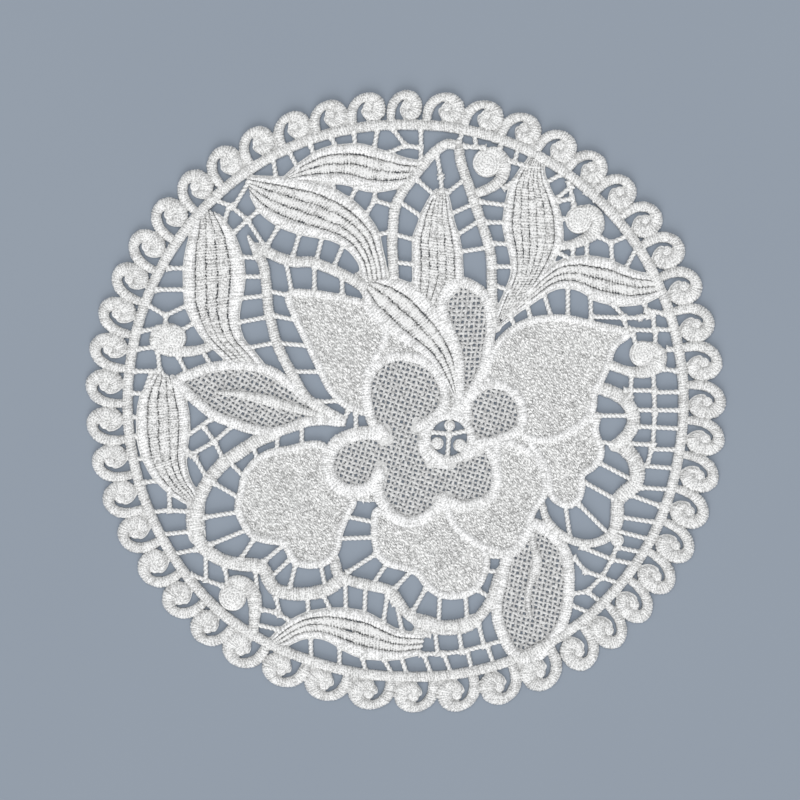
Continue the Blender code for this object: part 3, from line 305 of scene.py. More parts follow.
# Veins of the net leaves: x, y and half width along each.
VEINS = {
    "left net leaf": (
        (-60, 2.6, 0.6), (-54, 2.2, 1.1), (-48, 1.0, 1.6), (-42.5, -0.3, 1.8), (-36, -2.2, 1.5),
        (-30, -3.9, 1.2), (-24, -5.2, 1.0)),
    "lower net leaf": (
        (40.3, -41.5, 0.8), (40.7, -45.8, 1.1), (41.9, -51.3, 1.7), (40.6, -55.5, 1.5),
        (39.3, -59.5, 1.1), (38.9, -64.2, 0.9), (39.8, -69, 0.7)),
}

# Curls, broad round their heads, and two cords that narrow: x, y and half width along each.
CURLS = {
    "tip of the spoke to the left petals": (
        (-50, 52.6, 0.5), (-48.9, 50.2, 0.9), (-47.4, 47.9, 1.5), (-46, 45, 1.7)),
    "last scallop round the small petal": (
        (67.3, -31.5, 2.2), (67.3, -35, 2.2), (67.1, -38.5, 2.1), (65.7, -42, 1.8),
        (62.2, -44.5, 1.5), (58, -45.4, 1.4), (53.5, -44.6, 1.4), (49.5, -42.5, 1.4),
        (46, -39.3, 1.4), (44.2, -36, 1.3), (43.6, -32.5, 1.1)),
    "on the arch": (
        (22, 65.5, 1.6), (26.3, 67.2, 1.7), (29.6, 69.4, 1.9), (31.2, 72.6, 2.2),
        (31, 76.3, 2.2), (28.8, 79, 1.6), (25.8, 79.8, 0.7)),
    "by the tall leaf": (
        (48.5, 49, 1.6), (53, 49.6, 1.5), (57.2, 51.3, 1.9), (60.2, 54, 2.5), (60.8, 57.3, 2.6),
        (58.8, 60, 2.2), (55.5, 61, 1.3)),
    "on the right petal": (
        (63.5, 12, 1.7), (68, 10.2, 1.5), (72, 9.1, 1.7), (76.3, 9.3, 2.2), (79.8, 11.2, 2.5),
        (80.9, 14.3, 2.3), (79, 17, 1.6), (76, 18, 0.8)),
    "at the left": (
        (-60.5, 18.3, 1.6), (-63.5, 16.6, 1.6), (-67.5, 15.7, 1.7), (-72, 15.6, 1.9),
        (-76.3, 16.6, 2.3), (-78.8, 19, 2.5), (-77.8, 21.8, 2.2), (-75, 23.2, 1.5),
        (-72, 23.3, 0.8)),
    "at the lower left": (
        (-48.2, -75, 1.6), (-47.9, -70, 1.8), (-47.6, -65.5, 2.1), (-48.2, -61.5, 2.5),
        (-50.6, -58.4, 2.3), (-54, -57, 1.7), (-57, -58.2, 0.9)),
}

# Rolled ends and knobs: x, y, radius.
KNOBS = (
    (26, 75.4, 4.3), (55.2, 57.3, 4.1), (75.3, 14.8, 3.9), (67.3, -44.3, 1.8),
    (-73.6, 19.9, 3.9), (-54.8, -62.4, 4.1),
    (10.2, -13.6, 1.7), (17.3, -14.2, 1.8), (14.1, -7.9, 1.5),
)

EYELET_MIDDLE = (13.9, -11.8)
EYELET_RADIUS = 7.1         # radius of the line of its cord
EYELET_HALF = 1.45          # half width of that cord
EYELET_SPOKES = ((14, -10.7, 14, -5), (14, -10.6, 7.5, -10), (14, -10.8, 20.3, -9.4),
                 (13.9, -11, 13.4, -18))

# Joining bars between two solid parts: x and y of one end, x and y of the other.
BARS = {
    "left of the large upper leaf": (
        (-61, 64, -55, 61.5), (-55, 61.5, -50, 57.3), (-50, 57.3, -44.8, 49.2),
        (-57.3, 57, -55.8, 61.8), (-49.6, 69.3, -54.5, 61.4), (-46.5, 60.3, -50, 57.3),
        (-54.3, 53.3, -50, 57.3)),
    "below the top of the rim": (
        (-42, 77.5, -41, 71), (-36.8, 79, -34, 73.5), (-30, 81, -29, 78), (-23.5, 83.5, -22, 80.5),
        (-16.3, 85, -15.8, 80.5), (-8.8, 86, -9.8, 80), (-3.8, 86, 0, 81), (-5.5, 78.5, 0, 80.9),
        (0, 80.9, 5, 80.2), (5, 86, 5, 76)),
    "between the upper leaves": (
        (-22.8, 70, -22.8, 66.5), (-15.5, 67.5, -17.5, 63.5), (-9.5, 67, -9.7, 63.5),
        (-12.5, 59, -9.7, 63.5), (-9.7, 63.5, -4, 61.8), (-9.5, 52.5, -4.5, 53.5)),
    "left of the middle leaf": (
        (-3.5, 52.8, 3, 51), (-3.5, 43.9, 3, 43.2), (-2, 63.3, 5.2, 58.3), (3.8, 70, 9.5, 65)),
    "over the middle leaf": (
        (10, 78.5, 11.3, 71), (11.3, 71, 11.6, 66.5), (13.5, 66, 19, 70.3), (14.5, 59.2, 22, 62.6),
        (16.5, 52.6, 24, 57.3), (17.5, 47.2, 26, 48.5)),
    "round the arch curl": (
        (17, 82, 18.5, 86), (22, 84.5, 22.5, 80.5), (19, 80.6, 25, 80.2), (30, 80, 31, 83),
        (34.7, 75.6, 36, 81), (33, 76, 38, 74.5), (31.5, 67.5, 35, 70)),
    "left of the tall leaf": (
        (24, 63, 32.5, 61.9), (26, 56.5, 31.5, 56.5), (28, 49.8, 33, 49.7),
        (28.5, 42.5, 34.5, 42.5), (28.5, 36.5, 33, 35)),
    "right of the tall leaf": (
        (44.5, 69, 49.5, 71.8), (48, 64, 52.5, 67.8), (52, 69, 53.5, 62), (48.5, 63.2, 53, 64.1),
        (57.5, 66, 60, 64), (49.5, 57.7, 53, 57.5)),
    "over the slender right leaf": (
        (47.5, 47.5, 53, 44.5), (53.2, 48.5, 53.2, 44.8), (57.5, 50, 57.8, 45),
        (61.5, 52, 65.3, 50), (65.3, 50, 65.7, 44), (65.3, 50, 70.5, 52.3),
        (73.5, 48.5, 70, 42), (75.5, 48, 77.5, 40)),
    "under the slender right leaf": (
        (44, 34, 46.3, 26.5), (38.6, 31, 39.8, 26), (33.2, 27.2, 35, 23),
        (51.6, 36, 51.6, 26.5), (58.8, 33, 59, 25.5), (66, 30.5, 69.5, 26.5), (59, 26.6, 69.5, 26.3),
        (69, 26.5, 70.5, 22.5), (75.8, 31, 77.3, 26.6), (69.5, 26.2, 74.5, 26.3),
        (76.5, 28.7, 82, 27.6), (74.5, 26.3, 78.5, 27.5)),
    "round the right curl": (
        (78.6, 28, 79, 22.5), (71.7, 22.5, 79.5, 22.2), (79.5, 22.6, 85, 22.4), (79.4, 22, 79.3, 17.5),
        (72.3, 21, 73.5, 16.5), (83.5, 16.3, 86, 16), (82, 10, 86, 9.4), (78.7, 9.5, 79, 3),
        (71.8, 8, 71.5, 1.5)),
    "square lattice at the right": (
        (70, 3.2, 79, 3.2), (79, 2.6, 87, 2.7), (79, 3, 79.2, -4), (79.2, -4, 78.6, -14),
        (78.6, -14, 76.8, -20.5), (73, -3, 87, -3.1), (74, -8.2, 87, -8.9),
        (71.5, -13.7, 78, -14), (78, -15.4, 86, -15.6), (75, -20.6, 85, -21.5),
        (75, -27.6, 83.5, -28.2), (71.5, -30, 80.5, -33.3), (68.5, -37, 79, -38.6),
        (66.5, -41.2, 77, -43.9), (67.5, -46.6, 75, -48.2)),
    "inside the right scallops": (
        (61.5, -4.8, 71, -4.8), (61, -12.9, 66.5, -13.9), (61.5, -19.7, 72, -25.2),
        (56.5, -25.7, 66.5, -31.3)),
    "across the right hollow": (
        (55.2, -33, 65, -42.8), (50.8, -33, 52.3, -43.5)),
    "right of the lower net leaf": (
        (56, -46.5, 65.6, -50.4), (65.6, -50.4, 72, -51.8), (67.4, -45.5, 65.6, -50.4),
        (65.6, -50.4, 62.4, -56), (62.4, -56, 57.8, -60.6), (53, -61.3, 57.8, -60.6),
        (57.8, -60.6, 62.5, -64.3), (53.7, -50, 57.2, -54.2), (57.2, -54.2, 62.4, -56),
        (62.4, -56, 67.5, -58), (52.5, -64.8, 59, -67.6)),
    "left of the lower net leaf": (
        (25.5, -54, 31, -54.4), (26, -49.4, 32, -49.6), (23, -60, 27.3, -62.8),
        (19.1, -61, 19.6, -69), (11, -61.5, 10.6, -70.5), (6.6, -59.5, 2.6, -66.5)),
    "bottom right, inner row": (
        (9.3, -72, 10.3, -80.3), (17, -73, 18, -79.6), (23.3, -71, 25, -77.8),
        (28.8, -67.5, 30.5, -76)),
    "bottom right, rail": (
        (5, -80.4, 12, -80.3), (12, -80.3, 18, -79.6), (18, -79.6, 25, -77.8),
        (25, -77.8, 32, -75.8)),
    "bottom right, outer row": (
        (-1.3, -81, 0.5, -87), (6, -80.8, 8.3, -87), (12.3, -80.5, 14.7, -87),
        (19.7, -79.5, 21.3, -86), (26, -77.8, 28.4, -84.5)),
    "bottom left, outer row": (
        (-6.8, -82, -4, -87), (-13.6, -81.5, -12.5, -86), (-20.8, -78, -20.9, -85),
        (-30, -75, -29.8, -82)),
    "over the bottom leaf": (
        (-45.5, -66.3, -41, -67.2), (-41, -67.2, -36, -70.2), (-41, -62.5, -39.7, -68),
        (-31, -62, -30.7, -68), (-26, -61.8, -23.3, -67), (-19, -57.5, -18.8, -67),
        (-12.6, -59, -12.9, -68), (-5.6, -61.5, -6.9, -70), (-2.7, -64.5, -1, -73),
        (-47.5, -71, -40.5, -72.6), (-5, -62, -3.6, -64.3), (3.5, -73.5, 7.5, -74.3)),
    "round the left petal": (
        (-32.8, -7.5, -32.8, -14.5), (-40.5, -10, -40.7, -16), (-48.2, -14.5, -46.8, -19),
        (-55.8, -19.5, -51, -24.2), (-60.5, -26.3, -53, -30.7), (-63.5, -37, -52.5, -35.3),
        (-61.5, -45.6, -50, -40.9), (-52, -50, -48, -44), (-44.5, -50.8, -37.3, -44.8),
        (-42.5, -56, -36.7, -50.5), (-36.5, -59, -34.8, -52), (-26.8, -52, -25.3, -59.5)),
    "between the bottom petals": (
        (-18.5, -36.8, -9.5, -38.7), (-21, -43.8, -10, -43.4), (-18, -54.3, -9.5, -48.8),
        (-10.3, -58.3, -5.7, -51.5), (-3, -59.3, 2.2, -53.8)),
    "lattice at the left": (
        (-69.8, -11.6, -61.8, -6), (-68, -17.2, -60.5, -13), (-60.5, -13, -54.8, -8),
        (-63.8, -8.5, -60.5, -13), (-60.5, -13, -58, -18), (-70, -15, -66.7, -18),
        (-66.7, -18, -63, -24.5)),
    "along the left lower leaf": (
        (-87, 2.3, -82, 2.3), (-87, -5.3, -83, -5.3), (-87, -11.3, -83, -11.3),
        (-86, -18.6, -82, -18.3), (-83, -26, -78, -25.4)),
    "lower left, along the rim": (
        (-80.3, -35.5, -74.8, -34.7), (-75, -28, -74.6, -35), (-74.8, -34.8, -68.5, -35.3),
        (-77, -42.5, -68.5, -41.6), (-73.5, -48.7, -66.5, -47.3), (-63.3, -48.5, -63.2, -57),
        (-67.5, -55.5, -58, -58.8), (-57.3, -53, -56.3, -57.5), (-47.5, -54, -46.9, -61.5)),
    "upper left, along the rim": (
        (-75, 42, -69.5, 42), (-78.5, 35.2, -69.5, 35.2), (-81.5, 30.2, -76, 27),
        (-76, 27, -69, 30.3), (-76, 27, -76, 24), (-84, 22, -79, 22.8), (-85, 16.3, -79.5, 17),
        (-71, 22.2, -66.5, 25), (-78.5, 15.5, -77.9, 9.7), (-77.9, 9.7, -74, 5),
        (-86, 9.3, -78.5, 9.3), (-80.5, 9, -83, 2), (-72, 14, -69.5, 9), (-64.5, 16, -61.5, 11)),
    "between the left leaf and the spoke": (
        (-52, 45.6, -47, 45.3), (-51.5, 39.3, -44.5, 39.3), (-52.5, 32.4, -44, 33.3),
        (-53, 24.8, -43, 26.6), (-50, 16.7, -41.5, 18.3)),
    "between the spoke and the upper petal": (
        (-43.5, 34.8, -37, 33.4), (-41.5, 26.9, -34.5, 25.5), (-40, 18.2, -31, 17.4),
        (-35.5, 9.2, -26.8, 9.1), (-37.7, 43.5, -36, 34.5), (-28.8, 42.5, -28.8, 35),
        (-20, 39, -20, 34)),
    "under the large upper leaf": (
        (-40.3, 55, -43.6, 49.5), (-33.5, 53, -35.6, 46), (-26.3, 52, -28.2, 44.5),
        (-19.6, 49.5, -22.6, 42.5)),
    "below the upper left petal": (
        (-27, -0.5, -21, 0), (-18, -3, -19.8, -7), (-15.7, -4, -15.6, -9)),
}

# Of each leaf: how high the seams between its ribs lie, how much painted shade darkens each rib
# towards the seams while painted light brightens its middle, and where the seams lie, as shares
# of the way from the leaf's first edge to its other edge.
LEAF_RIBS = {
    "left upright leaf": (1.4, 0.3, (0.19, 0.37, 0.56, 0.77)),
    "large upper leaf": (1.35, 1.1, (0.2, 0.39, 0.59, 0.79)),
    "slender top leaf": (1.35, 1.1, (0.23, 0.48, 0.73)),
    "curved inner leaf": (1.35, 1.1, (0.27, 0.51, 0.76)),
    "middle upright leaf": (1.5, 0.3, (0.16, 0.33, 0.5, 0.67, 0.84)),
    "tall right leaf": (1.5, 0.3, (0.15, 0.29, 0.43, 0.57, 0.71, 0.86)),
    "slender right leaf": (1.35, 1.1, (0.23, 0.48, 0.73)),
    "left lower leaf": (1.35, 0.3, (0.2, 0.41, 0.62, 0.8)),
    "slender bottom leaf": (1.35, 1.1, (0.23, 0.48, 0.73)),
}

# Directions of the two layers of thread, and the nets that have them.
NET_GROUPS = (
    ((-18, 73), ("net petal, middle", "net petal, round", "net petal, lower right",
                 "net petal, bottom", "net petal, left", "net ground, middle")),
    ((1, 84), ("net petal, teardrop",)),
    ((-30, 57), ("net leaf, left",)),
    ((-17, 80), ("net leaf, lower right",)),
)


def spline(points, step):
    """Smooth curve through open points, sampled about every step; extra columns ride along.

    Between two points it is a cubic, whose slope at each is half the step between that point's
    neighbours.
    """
    knots = np.asarray(points, dtype=float)
    if len(knots) == 2:
        knots = np.vstack([knots[0], knots.mean(axis=0), knots[1]])
    padded = np.vstack([2 * knots[0] - knots[1], knots, 2 * knots[-1] - knots[-2]])
    pieces = []
    for i in range(len(knots) - 1):
        before, start, end, after = padded[i:i + 4]
        count = max(1, int(round(np.hypot(*(end - start)[:2]) / step)))
        t = (np.arange(count) / count)[:, None]
        pieces.append(start + 0.5 * t * (end - before
                      + t * (2 * before - 5 * start + 4 * end - after
                             + t * (3 * start - before - 3 * end + after))))
    return np.vstack(pieces + [knots[-1:]])


def closed_spline(points, step):
    """Smooth closed curve through the points; the first sample is not repeated at the end."""
    knots = np.asarray(points, dtype=float)
    around = np.vstack([knots[-2:], knots, knots[:3]])
    full = spline(around, step)
    first = np.argmin(np.hypot(*(full[:len(full) // 2] - knots[0]).T))
    last = len(full) - 1 - np.argmin(np.hypot(*(full[::-1][:len(full) // 2] - knots[0]).T))
    return full[first:last]


def closed(line):
    """A line with its first point once more at its end."""
    return np.vstack([line, line[:1]])


def way_along(path):
    """Distance along a path at each of its points."""
    return np.concatenate([[0.0], np.cumsum(np.hypot(*np.diff(path[:, :2], axis=0).T))])


def clock_point(clockwise_degrees, radius):
    """Point at a clockwise angle from the top and a radius."""
    angle = math.radians(clockwise_degrees)
    return radius * math.sin(angle), radius * math.cos(angle)


def rim_value(clockwise_degrees, column):
    """Rim table read between its rows."""
    table = np.asarray(RIM, dtype=float)
    return float(np.interp(clockwise_degrees % 360.0, table[:, 0], table[:, column]))


def leaf_outline(one_edge, other_edge):
    """Closed outline of a leaf from its two edges, both given from base to tip."""
    return np.vstack([spline(one_edge, GROUND_STEP), spline(other_edge, GROUND_STEP)[::-1]])


def segment_distance(px, py, start, end):
    """Distance from points to a segment, and how far along it the nearest point lies."""
    dx, dy = end - start
    along = ((px - start[0]) * dx + (py - start[1]) * dy) / (dx * dx + dy * dy)
    along = np.clip(along, 0.0, 1.0)
    return np.hypot(px - start[0] - along * dx, py - start[1] - along * dy), along


def inside_outline(px, py, outline):
    """True for the points enclosed by a closed outline."""
    result = np.zeros(np.shape(px), dtype=bool)
    for (x1, y1), (x2, y2) in zip(outline, np.roll(outline, -1, axis=0)):
        if y1 == y2:
            continue
        crosses = (y1 > py) != (y2 > py)
        result ^= crosses & (px < x1 + (py - y1) * (x2 - x1) / (y2 - y1))
    return result


def within_any(points, outlines):
    """True for the points that at least one of the closed outlines encloses."""
    result = np.zeros(len(points), dtype=bool)
    for outline in outlines:
        result |= inside_outline(points[:, 0], points[:, 1], outline)
    return result


class Field:
    """Grid that holds how far each point lies inside the lace; outside it is negative."""

    def __init__(self):
        self.axis = np.arange(-HALF_FIELD, HALF_FIELD + CELL / 2, CELL)
        self.reach = np.full((len(self.axis), len(self.axis)), EMPTY)

    def window(self, low, high):
        """Slices and coordinates of the part of the grid between two corners."""
        first = np.searchsorted(self.axis, np.asarray(low))
        last = np.searchsorted(self.axis, np.asarray(high))
        part = (slice(first[0], last[0]), slice(first[1], last[1]))
        px, py = np.meshgrid(self.axis[part[0]], self.axis[part[1]], indexing="ij")
        return part, px, py

    def add_stroke(self, path):
        """Join a stroke whose half width changes evenly between its points."""
        for start, end in zip(path[:-1], path[1:]):
            margin = max(start[2], end[2]) + 3 * CELL
            low = np.minimum(start, end)[:2] - margin
            high = np.maximum(start, end)[:2] + margin
            part, px, py = self.window(low, high)
            distance, along = segment_distance(px, py, start[:2], end[:2])
            half = start[2] + along * (end[2] - start[2])
            self.reach[part] = np.maximum(self.reach[part], half - distance)

    def add_area(self, outline, extra):
        """Join everything within an outline and a strip of width extra around it."""
        margin = extra + 3 * CELL
        part, px, py = self.window(outline.min(axis=0) - margin, outline.max(axis=0) + margin)
        distance = np.full(px.shape, np.inf)
        for start, end in zip(outline, np.roll(outline, -1, axis=0)):
            if np.hypot(*(end - start)) > 1e-6:
                distance = np.minimum(distance, segment_distance(px, py, start, end)[0])
        inside = inside_outline(px, py, outline)
        signed = extra + np.where(inside, distance, -distance)
        self.reach[part] = np.maximum(self.reach[part], signed)

    def soften(self, passes):
        """Round the corners and close the thinnest slits, as thread fills them."""
        for _ in range(passes):
            for axis in (0, 1):
                around = np.roll(self.reach, 1, axis) + np.roll(self.reach, -1, axis)
                self.reach = 0.5 * self.reach + 0.25 * around

    def loops(self):
        """Closed lines round the lace and its openings, with the lace on their left.

        Each cell is cut into two triangles.  The line crosses a triangle's side where the reach,
        taken as changing evenly along it, is zero.
        """
        reach = self.reach
        axis = self.axis
        inside = reach > 0
        mixed = inside[:-1, :-1].astype(int) + inside[1:, :-1] + inside[:-1, 1:] + inside[1:, 1:]
        following = {}

        def crossing(a, b):
            return (a, b) if a < b else (b, a)

        for i, j in zip(*np.nonzero((mixed > 0) & (mixed < 4))):
            corners = ((i, j), (i + 1, j), (i + 1, j + 1), (i, j + 1))
            for triangle in (corners[:3], (corners[0], corners[2], corners[3])):
                leave = enter = None
                for a, b in zip(triangle, triangle[1:] + triangle[:1]):
                    if inside[a] and not inside[b]:
                        leave = crossing(a, b)
                    if inside[b] and not inside[a]:
                        enter = crossing(a, b)
                if leave and enter:
                    following[leave] = enter

        def position(key):
            a, b = key
            t = reach[a] / (reach[a] - reach[b])
            return (axis[a[0]] + t * (axis[b[0]] - axis[a[0]]),
                    axis[a[1]] + t * (axis[b[1]] - axis[a[1]]))

        found = []
        while following:
            key, ahead = following.popitem()
            loop = [key]
            while ahead != loop[0]:
                loop.append(ahead)
                ahead = following.pop(ahead)
            found.append(np.array([position(k) for k in loop]))
        return found


def signed_area(loop):
    """Area within a loop: positive when it runs counter-clockwise."""
    x, y = loop.T
    return 0.5 * float(np.sum(x * np.roll(y, -1) - np.roll(x, -1) * y))


def simplify(loop, tolerance):
    """Leave out the points of a closed loop that lie nearly on the line between those kept."""
    far = int(np.argmax(np.hypot(*(loop - loop[0]).T)))
    ring = closed(loop)
    keep = {0, far, len(ring) - 1}
    pending = [(0, far), (far, len(ring) - 1)]
    while pending:
        first, last = pending.pop()
        if last - first < 2:
            continue
        distance, _ = segment_distance(ring[first + 1:last, 0], ring[first + 1:last, 1],
                                       ring[first], ring[last])
        worst = int(np.argmax(distance))
        if distance[worst] > tolerance:
            middle = first + 1 + worst
            keep.add(middle)
            pending += [(first, middle), (middle, last)]
    return ring[sorted(keep)[:-1]]


def scrolls():
    """For each scroll: its outer and inner edge side by side, and the middle of its head."""
    numbers, angles = np.asarray(SCROLL_ANGLES, dtype=float).T
    found = []
    for k in range(SCROLL_COUNT):
        a = float(np.interp(k, numbers, angles))
        pitch = float(np.interp(k + 0.5, numbers, angles) - np.interp(k - 0.5, numbers, angles))
        pitch = max(pitch, LEAST_SCROLL)
        inner = rim_value(a, RING_COLUMN)
        rise = rim_value(a, HEADS_COLUMN) - inner
        edges = spline([(*clock_point(a + s * pitch, inner + t * rise),
                         *clock_point(a + u * pitch, inner + v * rise))
                        for s, t, u, v in SCROLL_EDGES], 0.8)
        head = clock_point(a + 0.04 * pitch, inner + 0.55 * rise)
        found.append((edges[:, :2], edges[:, 2:], np.array(head)))
    return found


def shares(length, pitch, uneven=0.0, seed=0):
    """Shares of a length, one for each ring; the threads differ in width at random."""
    count = max(2, int(round(length / pitch)))
    wide = 1.0 + uneven * np.random.default_rng(seed).uniform(-1.0, 1.0, count)
    ends = np.concatenate([[0.0], np.cumsum(wide)]) / wide.sum()
    return np.interp(np.arange(RINGS * count + 1) / RINGS, np.arange(count + 1), ends)


def resampled(path, at):
    """The path's points at given shares of its length."""
    way = way_along(path)
    return np.column_stack([np.interp(at * way[-1], way, column) for column in path.T])


def spread(path, pitch, joined=False, uneven=0.0, seed=0):
    """Points along a path for the rings of its threads, which lie a pitch apart."""
    line = closed(path) if joined else path
    points = resampled(line, shares(way_along(line)[-1], pitch, uneven, seed))
    return points[:-1] if joined else points


def sides(path, half, joined=False):
    """Both edges of a cord: its path moved by its half width to the left and to the right."""
    if joined:
        ahead = np.roll(path, -1, axis=0) - np.roll(path, 1, axis=0)
    else:
        ahead = np.gradient(path, axis=0)
    ahead = ahead / np.hypot(*ahead.T)[:, None]
    out = np.column_stack([-ahead[:, 1], ahead[:, 0]]) * np.reshape(half, (-1, 1))
    return path + out, path - out


def satin(left, right, low, top, slant, joined=False, crown=0.45, notch=0.03, ragged=0.05,
          painted_rib_shading=0.0, seed=0):
    """Skin of stuffed satin between two edges, with a few rings of points to a thread.

    Across, the height is the sine of an angle that runs from edge to edge, raised to the power
    crown.  Along, a cosine with one wave to a thread is added, which slant turns off square, and
    it widens the skin by the share notch where a thread lies.  The same cosine makes the colour
    lighter on each thread's crown and darker in the groove beside it, as painted shade.
    Thickness, slant, width and shade differ at random from thread to thread, the width by the
    share ragged.  The hollow setting adds painted light to the middle and painted shade to both
    edges by the squared sine of the same angle.  Ends that aren't joined shrink along a quarter
    circle.
    """
    count = len(left)
    middle, span = (left + right) / 2, (left - right) / 2
    way = way_along(closed(middle) if joined else middle)
    along = way[:count]
    turn = np.linspace(0.0, math.pi, ACROSS)
    across, up = np.cos(turn), np.sin(turn) ** crown
    pinch = np.ones(count)
    if not joined:
        near = np.minimum(along, way[-1] - along) / (0.9 * np.hypot(*span.T).mean())
        pinch = np.sqrt(1.0 - (1.0 - np.clip(near, 0.03, 1.0)) ** 2)
    each = np.random.default_rng(seed).uniform(-1.0, 1.0, (4, count // RINGS + 2))
    if joined:
        each[:, -2:] = each[:, :1]
    number = np.arange(count) / RINGS
    thick, lean, swell, shade = (np.interp(number, np.arange(len(row)), row)[:, None]
                                 for row in each)
    wave = np.cos(2 * math.pi * (number[:, None] + (slant + 0.2 * lean) * across))
    rise = (top - low + 0.1 * swell) * pinch[:, None] ** 0.6 * up
    rise = rise + RELIEF * (0.8 + 0.6 * thick) * wave * up
    wide = (1.0 + notch * (0.7 + 0.9 * thick) * wave[:, :1] + ragged * swell) * pinch[:, None]
    points = np.empty((count, ACROSS, 3))
    points[:, :, :2] = middle[:, None] + span[:, None] * (across * wide)[:, :, None]
    points[:, :, 2] = low + np.maximum(rise, 0.0)
    # Painted shade: darker in the groove between threads, lighter on their crowns; shade is random
    # tone.
    light = 0.5 + 0.3 * shade + 0.35 * (0.8 + 0.5 * thick) * wave
    # Painted light on the middle of a rib, painted shade at both its edges.
    light = light + painted_rib_shading * (np.sin(turn) ** 2 - 0.5)
    over_the_back = 2.2 * float(np.hypot(*span.T).mean())
    return points, way, joined, over_the_back, light


def dome(middle, radius, low, top, depth=0.1, start=0.0):
    """Skin of a rolled end: rings that shrink while the height follows a quarter ellipse.

    A cosine of the distance from the middle plus the angle lays one thread on it as a spiral,
    which two small sines of the angle make wobble.  The same cosine makes the colour darker in the
    spiral's groove, as painted shade.
    """
    share = np.linspace(0.0, 1.0, max(7, int(radius * 4.2)))
    quarter = share * math.pi / 2 * 0.97
    out, up = np.cos(quarter), np.sin(quarter) ** 0.6
    turn = np.linspace(0.0, 2 * math.pi, 8 * int(2 + 1.6 * radius), endpoint=False)
    wobble = 0.8 * np.sin(3 * turn + start) + 0.6 * np.sin(5 * turn + 2 * start)
    phase = 2 * math.pi * radius * out[:, None] / THREAD * 0.8 + turn + wobble
    wave = (np.sin(share * math.pi) ** 0.5)[:, None] * np.cos(phase)
    points = np.empty((len(share), len(turn), 3))
    points[:, :, 0] = middle[0] + radius * out[:, None] * np.cos(turn)
    points[:, :, 1] = middle[1] + radius * out[:, None] * np.sin(turn)
    points[:, :, 2] = low + (top - low) * up[:, None] + depth * wave
    # The colour carries painted shade in the spiral's groove.
    return points, share * radius, False, 2 * math.pi * radius * 0.7, 0.55 + 3.0 * depth * wave


def thread(path, half, height, light, columns=6, twist=0.0, bump=0.0, flat=1.0):
    """Skin of a thread along a path: a circle, flattened if flat is below 1, is carried along it.

    Half width, height and light are one number each, or one for each point.  The circle swells by
    a cosine of twice its angle, turned on along the path, as two twisted threads do.  Where bump
    is set, the same cosine makes the swells lighter and the groove between them darker, as painted
    shade.
    """
    along = way_along(path)
    ahead = np.gradient(path, axis=0)
    ahead = ahead / np.hypot(*ahead.T)[:, None]
    turn = math.pi / 2 + np.linspace(0.0, 2 * math.pi, columns, endpoint=False)
    ply = np.cos(2 * turn[None] - twist * along[:, None])
    radius = np.reshape(half, (-1, 1)) * (1.0 + bump * ply)
    sideways = radius * np.cos(turn)
    points = np.empty((len(path), columns, 3))
    points[:, :, 0] = path[:, :1] - ahead[:, 1:] * sideways
    points[:, :, 1] = path[:, 1:] + ahead[:, :1] * sideways
    lift = np.reshape(height, (-1, 1)) + flat * radius * np.sin(turn)
    points[:, :, 2] = np.maximum(lift, 0.02)
    # Where bump is set: painted shade in the groove of the twist, lighter on the swells.
    shade = np.reshape(light, (-1, 1)) + (0.4 if bump else 0.0) * ply
    return points, along, False, 2 * math.pi * float(np.mean(half)), shade


